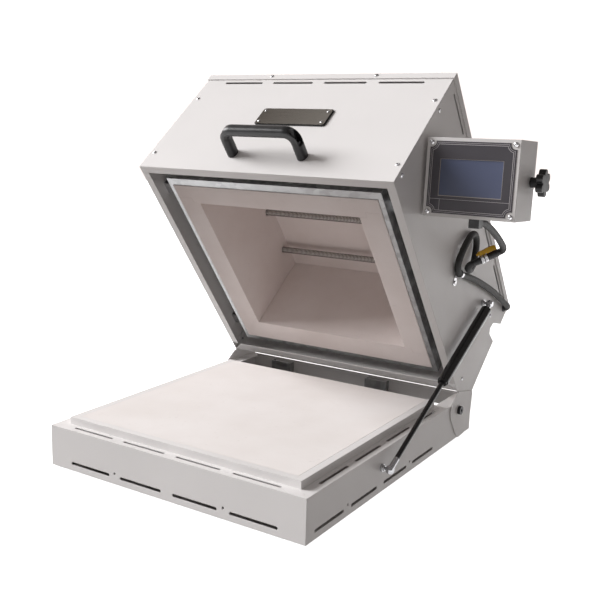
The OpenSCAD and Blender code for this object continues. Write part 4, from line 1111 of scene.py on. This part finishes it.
@dataclass(frozen=True)
class Connector:
    """Round connector with knurled rings, and the yellow flat connectors on it.

    Attributes:
        start: the plug's upper end in the lid's frame.
        end: the boot's lower end in the lid's frame.
        up: direction from the plug towards the flat connectors.
        body: radius of the plug's body.
        ring: radius of the coupling rings.
        body_l: length of the plug's body.
        ring_l: length of a coupling ring.
        lead: radius of the lead.
    """

    start: Triple = (290, 282, 156)
    end: Triple = (258, 280, 122)
    up: Triple = (-0.44, -0.77, 0.46)
    body: float = 6.2
    ring: float = 7.0
    body_l: float = 21
    ring_l: float = 5.6
    lead: float = 5.5

    def length(self) -> float:
        """Gives the connector's whole length."""
        return (Vector(self.end) - Vector(self.start)).length

    def matrix(self) -> Matrix:
        """Gives the connector's frame in the row frame, its third axis along it.

        Returns:
            The matrix, for metres.
        """
        way = (Vector(self.end) - Vector(self.start)).normalized()
        up = Vector(self.up)
        first = (up - up.dot(way) * way).normalized()
        turn = Matrix((first, way.cross(first), way)).transposed().to_4x4()
        return LID @ Matrix.Translation(Vector(self.start) * MM) @ turn

    def plug(self) -> bpy.types.Object:
        """Builds the plug's body, neck and ribbed boot.

        Returns:
            The piece.
        """
        s = self
        neck, boot = s.body - 1.6, s.body_l + 2 * s.ring_l + 2
        profile = [(0.5, 0.5), (s.body - 0.9, 0.5), (s.body, 1.4)]
        for k in range(5):
            z = 3.2 + 3.2 * k
            profile += [(s.body, z), (s.body - 0.45, z + 0.4), (s.body - 0.45, z + 1.1),
                        (s.body, z + 1.5)]
        profile += [(s.body, s.body_l - 0.6), (s.body - 0.6, s.body_l), (neck, s.body_l),
                    (neck, boot), (s.body - 0.5, boot), (s.body - 0.2, boot + 0.5)]
        end = s.length() - 0.5
        for k in range(4):
            z = boot + 1.5 + 2.4 * k
            share = (z - boot) / (end - boot)
            r = (s.body - 0.2) * (1 - share) + (s.lead - 0.3) * share
            profile += [(r, z), (r - 0.5, z + 0.3), (r - 0.5, z + 1.0), (r, z + 1.3)]
        profile += [(s.lead - 0.3, end), (0.5, end)]
        piece = revolved(profile, 48).moved(self.matrix()).to_object("plug_shell", 30)
        return placed(piece, Body.LID, Slot.PLASTIC, ["lead_plug"])

    def rings(self) -> bpy.types.Object:
        """Builds the two knurled coupling rings.

        Returns:
            The piece.
        """
        s = self
        shapes = []
        for start in (s.body_l + 0.3, s.body_l + s.ring_l + 1.3):
            inner = s.body - 1.55
            profile = [(inner, start), (s.ring - 0.5, start), (s.ring, start + 0.5),
                       (s.ring, start + 0.9), (s.ring, start + s.ring_l - 0.9),
                       (s.ring, start + s.ring_l - 0.5), (s.ring - 0.5, start + s.ring_l),
                       (inner, start + s.ring_l)]
            shapes.append(revolved(profile, 80, 0.35, (start + 0.8, start + s.ring_l - 0.8)))
        piece = total(shapes).moved(self.matrix()).to_object("knurled_rings", 25)
        return placed(piece, Body.LID, Slot.ZINC, ["coupling_rings"])

    def flat_connectors(self) -> list[bpy.types.Object]:
        """Builds the two yellow halves, their ribs, raised plate and strain relief, and the red
        mark on them.

        Returns:
            The pieces.
        """
        s = self
        base = s.body + 0.3
        step = s.ring - s.body
        parts = [slab((base, -7.5, 3), (base + 8, 7.5, 20), 0.9),
                 slab((base + step, -6.5, 19), (base + 7.4, 6.5, 32), 0.9)]
        for k in range(4):
            z = 21.4 + 2.4 * k
            parts.append(slab((base + step + 0.4, -6.9, z), (base + 7.8, 6.9, z + 1.1), 0.3, 1))
        parts.append(slab((base + 7.5, -5.5, 5), (base + 8.3, 5.5, 17.5), 0.35, 1))
        strain = revolved([(0.5, 31.5), (2.4, 31.5), (2.4, 34), (1.9, 36), (0.5, 36)], 24)
        parts.append(strain.moved(Matrix.Translation(Vector((base + step + 3, 0, 0)) * MM)))
        body = total(parts).moved(self.matrix()).to_object("flat_connectors", 30)
        placed(body, Body.LID, Slot.YELLOW, ["thermocouple_connector"])
        mark = revolved([(0.2, 0), (2.1, 0), (2.1, 0.35), (1.6, 0.6), (0.2, 0.6)], 28)
        spot = Matrix.Translation(Vector((base + 8.25, 0, 11)) * MM) @ Matrix.Rotation(
            math.radians(90), 4, "Y")
        red = mark.moved(spot).moved(self.matrix()).to_object("connector_mark", 30)
        placed(red, Body.LID, Slot.YELLOW, material=PALETTE.special(
            "dark_red_plastic", MouldedFinish(colour=(120, 24, 14), roughness=0.4)))
        return [body, red]

    def build(self) -> list[bpy.types.Object]:
        """Builds all pieces of the connector."""
        return [self.plug(), self.rings(), *self.flat_connectors()]


@dataclass(frozen=True)
class ScrewHeads:
    """Dome heads with cross recesses, all of a set in one piece."""

    radius: float = 3.4
    height: float = 1.9
    arm: float = 0.52
    reach: float = 1.75
    depth: float = 1.0
    shank_r: float = 1.9
    rings: int = 9
    sides: int = 40

    def head(self, shank: float) -> Shape:
        """Makes one screw whose head stands on the plane z = 0, with its shank below.

        Args:
            shank: length of the shank.

        Returns:
            The shape in metres.
        """
        s = self
        points, faces = [Vector((0, 0, (s.height - s.depth) * MM))], []
        for k in range(1, s.rings + 1):
            r = s.radius * (k / s.rings) ** 0.8
            dome = s.height * math.sqrt(max(0.0, 1 - (r / s.radius) ** 2 * 0.86))
            for i in range(s.sides):
                a = 2 * math.pi * i / s.sides
                x, y = r * math.cos(a), r * math.sin(a)
                across = min(abs(x), abs(y))
                sunk = max(0.0, 1 - (across / s.arm) ** 4) * max(0.0, 1 - (r / s.reach) ** 6)
                points.append(Vector((x, y, dome - s.depth * sunk)) * MM)
        for r, z in ((s.radius, 0.0), (s.shank_r, 0.0), (s.shank_r, -shank), (0.3, -shank)):
            for i in range(s.sides):
                a = 2 * math.pi * i / s.sides
                points.append(Vector((r * math.cos(a), r * math.sin(a), z)) * MM)
        for i in range(s.sides):
            faces.append([0, 1 + i, 1 + (i + 1) % s.sides])
        for k in range(s.rings + 3):
            for i in range(s.sides):
                j = (i + 1) % s.sides
                a, b = 1 + k * s.sides, 1 + (k + 1) * s.sides
                faces.append([a + i, b + i, b + j, a + j])
        last = 1 + (s.rings + 3) * s.sides
        faces.append([last + i for i in range(s.sides)])
        return Shape(points, faces)

    def set_of(
        self, name: str, places: Sequence[tuple], shank: float, into: Matrix
    ) -> bpy.types.Object:
        """Makes one piece of many screws.

        Args:
            name: the piece's name.
            places: for each screw, its place in millimetres and the way its head faces.
            shank: length of the shanks.
            into: the frame that the places are in.

        Returns:
            The piece, not yet dressed.
        """
        shapes = []
        for number, (place, way) in enumerate(places):
            way = Vector(way).normalized()
            turn = way.to_track_quat("Z", "Y").to_matrix().to_4x4()
            spin = Matrix.Rotation(math.radians(37 * number % 90), 4, "Z")
            matrix = into @ Matrix.Translation(Vector(place) * MM) @ turn @ spin
            shapes.append(self.head(shank).moved(matrix))
        return total(shapes).to_object(name, 50)


@dataclass(frozen=True)
class ShellTrim:
    """Screws of the lid's shell and rivets of its plate."""

    half_w: float = 236
    depth: float = 475
    height: float = 256
    pitch: float = 101.5
    edge: float = 9.5
    sheet: float = 1.6
    gap: float = 0.3
    plate_w: float = 131
    plate_h: float = 39
    plate_z: float = 139
    backing: float = 2.2
    plate_t: float = 1.2
    rivet_in: float = 6

    def screws(self) -> bpy.types.Object:
        """Builds the screws that hold the shell's panels together.

        Returns:
            The piece.
        """
        s = self
        heights = (25, s.height - 80)
        places = [((x * (s.half_w - s.edge), 0, z + 12), (0, -1, 0))
                  for x in (-1, 1) for z in heights]
        places += [((x * s.pitch, -s.gap - s.sheet, s.height - 5), (0, -1, 0)) for x in (-1, 1)]
        places += [((x * s.half_w, a, z), (x, 0, 0))
                   for x in (-1, 1) for a in (s.edge, s.depth - 3.5) for z in heights]
        piece = ScrewHeads().set_of("dome_screws", places, 5, LID)
        return placed(piece, Body.LID, Slot.ZINC, ["panel_screws"])

    def rivets(self) -> bpy.types.Object:
        """Builds the plate's rivets.

        Returns:
            The piece.
        """
        s = self
        front = -s.backing - s.plate_t
        shapes = []
        for x in (-1, 1):
            for z in (-1, 1):
                profile = [(0.05, 1.25), (0.9, 1.2), (1.7, 0.95), (2.35, 0.55), (2.75, 0.05),
                           (2.75, 0), (1.5, 0), (1.5, front + 0.2), (0.05, front + 0.2)]
                a, b = s.plate_w / 2 - s.rivet_in, s.plate_h / 2 - s.rivet_in
                place = Vector((x * a, front, s.plate_z + z * b))
                turn = Matrix.Rotation(math.radians(90), 4, "X")
                shapes.append(revolved(profile, 28).moved(Matrix.Translation(place * MM) @ turn))
        piece = total(shapes).moved(LID).to_object("plate_rivets", 35)
        return placed(piece, Body.LID, Slot.ZINC, ["nameplate_rivets"])

    def build(self) -> list[bpy.types.Object]:
        """Builds the trim."""
        return [self.screws(), self.rivets()]


@dataclass(frozen=True)
class ControllerFace:
    """The controller's printed lines, bezel and screws."""

    width: float = 139
    height: float = 115
    middle_z: float = 1
    front: float = -55
    film: float = 0.6
    notch: float = 7
    screw_in: float = 7
    screen_w: float = 95
    screen_h: float = 54
    borders: tuple = ((2.0, 2.5), (4.2, 4.9))
    margin: float = 4.6
    line: float = 0.5
    line_t: float = 0.06

    def outline(self, inset: float) -> list[tuple[float, float]]:
        """Gives the film's outline, drawn in by inset, with a hollow corner round each screw.

        Args:
            inset: how far the line lies inside the film.

        Returns:
            The outline's points, across and up.
        """
        s = self
        half_x, half_z = s.width / 2 - 5 - inset, s.height / 2 - 5 - inset
        cx, cz = s.width / 2 - s.screw_in, s.height / 2 - s.screw_in
        r = s.notch + inset
        line = []
        for sx, sz, first in ((1, 1, True), (1, -1, False), (-1, -1, True), (-1, 1, False)):
            a0 = math.asin(min(1, (cx - half_x) / r))
            b0 = math.asin(min(1, (cz - half_z) / r))
            angles = np.linspace(b0, math.pi / 2 - a0, 9)
            corner = []
            for t in angles:
                x, z = cx - r * math.cos(t), cz - r * math.sin(t)
                corner.append((sx * x, sz * z))
            line += corner[::-1] if not first else corner
        centre = s.width / 2
        return [(centre + x, s.middle_z + z) for x, z in line]

    def lines(self) -> bpy.types.Object:
        """Builds the pale printed lines: a double border, a rule and a small bare cell.

        Returns:
            The piece.
        """
        s = self
        y = s.front - s.film + 0.01
        shapes = [ribbon(self.outline(a), self.outline(b), s.line_t) for a, b in s.borders]
        left, low = 5 + s.margin, s.middle_z - s.height / 2 + 5 + s.margin
        right = s.width - left
        rule = s.middle_z - s.screen_h / 2 - s.margin

        def bar(x0: float, z0: float, x1: float, z1: float) -> Shape:
            middle = [((x0 + x1) / 2, (z0 + z1) / 2)] * 4
            return ribbon([(x0, z0), (x1, z0), (x1, z1), (x0, z1)], middle, s.line_t)

        cell = left + 15
        shapes += [bar(left, rule, right, rule + s.line), bar(cell, low, cell + s.line, rule)]
        piece = total(shapes).moved(Matrix.Translation(Vector((0, y, 0)) * MM)).moved(CONTROLLER)
        made = piece.to_object("printed_lines", 30)
        return placed(made, Body.CONTROLLER, Slot.LABEL, material=PALETTE.special(
            "pale_print", CoatFinish(colour=(196, 192, 194), roughness=0.5, grain=2600,
                                     relief=0.00001, edge=0.00005)))

    def bezel(self) -> bpy.types.Object:
        """Builds the bright edge of the film's window along the screen's left and bottom.

        Returns:
            The piece.
        """
        s = self
        x0, x1 = s.width / 2 - s.screen_w / 2, s.width / 2 + s.screen_w / 2
        z0, z1 = s.middle_z - s.screen_h / 2, s.middle_z + s.screen_h / 2
        outer = [(x0, z0), (x1, z0), (x1, z1), (x0, z1)]
        left, right, low, high = x0 + 0.7, x1 - 0.5, z0 + 1.1, z1 - 0.4
        inner = [(left, low), (right, low), (right, high), (left, high)]
        forward = Matrix.Translation(Vector((0, s.front + 0.35, 0)) * MM)
        shape = ribbon(outer, inner, 0.9).moved(forward)
        made = shape.moved(CONTROLLER).to_object("window_edge", 30)
        return placed(made, Body.CONTROLLER, Slot.LABEL, material=PALETTE.special(
            "window_edge", CoatFinish(colour=(170, 163, 160), roughness=0.35, grain=2000,
                                      relief=0.00001, edge=0.0001)))

    def screws(self) -> bpy.types.Object:
        """Builds the cover's four screws.

        Returns:
            The piece.
        """
        s = self
        places = [((x, s.front, s.middle_z + z * (s.height / 2 - s.screw_in)), (0, -1, 0))
                  for x in (s.screw_in, s.width - s.screw_in) for z in (-1, 1)]
        heads = ScrewHeads(radius=3.6, height=2.2)
        piece = heads.set_of("cover_dome_screws", places, 7, CONTROLLER)
        return placed(piece, Body.CONTROLLER, Slot.ZINC, ["cover_screws"])

    def build(self) -> list[bpy.types.Object]:
        """Builds the face's pieces."""
        return [self.lines(), self.bezel(), self.screws()]


class Mouldings:
    """Moulded pieces that take their form from the CAD, with melted edges."""

    def build(self) -> list[bpy.types.Object]:
        """Builds the handle and the star knob.

        Returns:
            The pieces.
        """
        handle = softened("handle", "moulded_handle", 0.8, 10)
        knob = softened("star_knob", "moulded_star_knob", 0.6, 5)
        satin = PALETTE.special("satin_black_plastic", MouldedFinish(
            colour=(24, 24, 26), roughness=0.36, grain=900, relief=0.00003, edge=0.0001))
        return [placed(handle, Body.LID, Slot.PLASTIC, ["handle"], satin),
                placed(knob, Body.KNOB, Slot.PLASTIC, ["star_knob"], satin)]


@dataclass(frozen=True)
class BlanketPad:
    """The soft insulation over the ceiling board, with puffed edges and a quilted surface.

    Attributes:
        low: lowest corner in the lid's frame.
        high: highest corner.
        cells: faces along each side.
        skin: how far the surface stays inside the corners' heights.
        rim: share of the thickness left at the edge.
        wave: height of the quilting.
    """

    low: Triple = (-193.5, 48, 211)
    high: Triple = (193.5, 435, 233)
    cells: int = 48
    skin: float = 0.6
    rim: float = 0.55
    wave: float = 0.4

    def point(self, u: float, w: float, way: int) -> Vector:
        """Gives a point of the surface, in metres.

        Args:
            u: share of the way across.
            w: share of the way back.
            way: 1 for the upper surface and -1 for the lower.

        Returns:
            The point.
        """
        low, high = Vector(self.low), Vector(self.high)
        puff = 1 - math.exp(-min(u, 1 - u, w, 1 - w) * 60)
        wave = self.wave * math.sin(23 * u + 3 * w) * math.sin(19 * w - 2 * u)
        half = (high.z - low.z) / 2 - self.skin
        swell = half * (self.rim + (1 - self.rim) * puff) + wave * puff - self.wave
        x, y = low.x + u * (high.x - low.x), low.y + w * (high.y - low.y)
        return Vector((x, y, (low.z + high.z) / 2 + way * swell)) * MM

    def build(self) -> list[bpy.types.Object]:
        """Builds the pad.

        Returns:
            The piece.
        """
        work = bmesh.new()
        bmesh.ops.create_grid(work, x_segments=self.cells, y_segments=self.cells, size=0.5)
        points = [self.point(v.co.x + 0.5, v.co.y + 0.5, way)
                  for way in (-1, 1) for v in work.verts]
        count, faces = len(work.verts), []
        for f in work.faces:
            ids = [v.index for v in f.verts]
            faces += [ids[::-1], [i + count for i in ids]]
        for e in work.edges:
            if len(e.link_faces) == 1:
                a, b = e.verts[0].index, e.verts[1].index
                faces.append([a, b, b + count, a + count])
        work.free()
        piece = Shape(points, faces).moved(LID).to_object("blanket_pad", 50)
        return [placed(piece, Body.LID, Slot.FIBRE, ["blanket"])]


class CadFinishes:
    """Gives every CAD node that stays in view the procedural finish of its slot."""

    def build(self) -> int:
        """Assigns the finishes.

        Returns:
            The number of nodes that got one.
        """
        by_name = {slot.value: slot for slot in Slot}
        own = {
            "strut_rod": PALETTE.special("black_rod", StrutFinish()),
            "strut_tube": PALETTE.special("black_tube", StrutFinish(UPPER_BALL, 0.0182)),
        }
        count = 0
        for name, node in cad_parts.items():
            for place in node.material_slots:
                kind = place.material.name.split(".")[0] if place.material else ""
                slot = by_name.get(kind, Slot.COAT)
                place.material = own.get(name) or PALETTE.of(slot)
            count += 1
        return count


# ---------------------------------------------------------------- stage


@dataclass(frozen=True)
class Studio:
    """A white floor, one large soft light from the left and a white backdrop in a dim surround.

    Attributes:
        floor_r: radius of the floor.
        floor_z: height of the floor.
        floor_glow: how bright the floor looks by itself, which lights no other surface.
        key_from: direction from the object to the large soft light.
        key_width: how wide the soft light looks, in degrees.
        key_power: its strength in watts per square metre.
        dim: light of the surround.
        bright: light of the white backdrop.
        tint: colour of the surround and the backdrop.
        backdrop: direction from the object to the middle of the backdrop.
        edge: cosines between which the backdrop fades in.
        camera_at: place of the camera.
        azimuth: way the camera looks, turned from +Y towards +X.
        elevation: how far it looks down.
        roll: turn about its own axis.
        lens: focal length in millimetres.
        shift: shift of the picture across and up.
    """

    floor_r: float = 6.0
    floor_z: float = -0.0025
    floor_glow: float = 0.95
    key_from: Triple = (-1.5, -0.5, 0.87)
    key_width: float = 34
    key_power: float = 4.5
    dim: float = 0.24
    bright: float = 1.15
    tint: Triple = (1.0, 0.93, 0.9)
    backdrop: Triple = (-0.75, 0.66, 0.0)
    edge: tuple = (0.62, 0.78)
    camera_at: Triple = (0.8019, -1.2478, 0.5590)
    azimuth: float = -34.66
    elevation: float = 11.05
    roll: float = 0.89
    lens: float = 54.99
    shift: tuple = (0.0887, -0.0177)

    def floor(self) -> bpy.types.Object:
        """Builds the floor.

        Returns:
            The floor.
        """
        s = self
        points, faces = [Vector((0, 0, s.floor_z))], []
        sides, rings = 72, 6
        for k in range(1, rings + 1):
            for i in range(sides):
                a = 2 * math.pi * i / sides
                r = s.floor_r * (k / rings) ** 1.5
                points.append(Vector((r * math.cos(a), r * math.sin(a), s.floor_z)))
        for i in range(sides):
            faces.append([0, 1 + i, 1 + (i + 1) % sides])
        for k in range(rings - 1):
            for i in range(sides):
                j = (i + 1) % sides
                a, b = 1 + k * sides, 1 + (k + 1) * sides
                faces.append([a + i, b + i, b + j, a + j])
        floor = Shape(points, faces).to_object("floor")
        g = Graph("paper_floor")
        clouds = g.spread(g.noise(3, 2), 0.3, 0.7)
        paper = g.mix(clouds, linear((250, 250, 250)), linear((253, 253, 253)))
        normal = g.bump(g.noise(700, 2), 0.00003)
        floor.data.materials.append(g.finish(
            Base_Color=paper, Roughness=0.9, Normal=normal, Specular_IOR_Level=0.1,
            Emission_Color=(1, 1, 1, 1), Emission_Strength=s.floor_glow))
        floor.visible_diffuse = False
        return floor

    def lights(self) -> None:
        """Makes the surround and the large soft light."""
        s = self
        world = bpy.data.worlds.new("studio")
        bpy.context.scene.world = world
        world.use_nodes = True
        tree = world.node_tree
        tree.nodes.clear()
        out = tree.nodes.new("ShaderNodeOutputWorld")
        back = tree.nodes.new("ShaderNodeBackground")
        where = tree.nodes.new("ShaderNodeTexCoord")
        dot = tree.nodes.new("ShaderNodeVectorMath")
        dot.operation = "DOT_PRODUCT"
        dot.inputs[1].default_value = Vector(s.backdrop).normalized()
        spread = tree.nodes.new("ShaderNodeMapRange")
        spread.interpolation_type = "SMOOTHSTEP"
        for i, value in enumerate((*s.edge, s.dim, s.bright)):
            spread.inputs[i + 1].default_value = value
        tree.links.new(where.outputs["Generated"], dot.inputs[0])
        tree.links.new(dot.outputs["Value"], spread.inputs[0])
        tree.links.new(spread.outputs[0], back.inputs["Strength"])
        back.inputs["Color"].default_value = (*s.tint, 1)
        tree.links.new(back.outputs[0], out.inputs[0])
        light = bpy.data.lights.new("key", "SUN")
        light.angle, light.energy = math.radians(s.key_width), s.key_power
        light.color = (1.0, 0.99, 0.995)
        key = bpy.data.objects.new("key", light)
        key.rotation_euler = (-Vector(s.key_from)).to_track_quat("-Z", "Y").to_euler()
        bpy.context.scene.collection.objects.link(key)

    def camera(self) -> bpy.types.Object:
        """Makes the camera at the photograph's view.

        Returns:
            The camera.
        """
        s = self
        az, el, roll = (math.radians(v) for v in (s.azimuth, s.elevation, s.roll))
        look = Vector((math.sin(az) * math.cos(el), math.cos(az) * math.cos(el), -math.sin(el)))
        right = Vector((math.cos(az), -math.sin(az), 0))
        up = right.cross(look)
        right, up = (math.cos(roll) * right + math.sin(roll) * up,
                     math.cos(roll) * up - math.sin(roll) * right)
        data = bpy.data.cameras.new("camera")
        data.lens, data.sensor_width = s.lens, 36
        data.shift_x, data.shift_y = s.shift
        data.dof.use_dof = False
        camera = bpy.data.objects.new("camera", data)
        turn = Matrix((right, up, -look)).transposed().to_4x4()
        camera.matrix_world = Matrix.Translation(s.camera_at) @ turn
        bpy.context.scene.collection.objects.link(camera)
        bpy.context.scene.camera = camera
        return camera

    def build(self) -> None:
        """Makes the studio and sets the plain view transform."""
        self.camera()
        self.floor()
        self.lights()
        bpy.context.scene.view_settings.view_transform = "Standard"


def main() -> None:
    """Builds the studio and every piece, and logs what was made."""
    logging.basicConfig(level=logging.INFO, format="%(message)s")
    Studio().build()
    LOG.info("%d CAD nodes have a finish", CadFinishes().build())
    makers = [
        HeatingCoils(),
        Leads(),
        Connector(),
        ShellTrim(),
        ControllerFace(),
        Mouldings(),
        BlanketPad(),
    ]
    for maker in makers:
        for piece in maker.build():
            LOG.info("%s: %d faces", piece.name, len(piece.data.polygons))


if __name__ == "__main__":
    main()
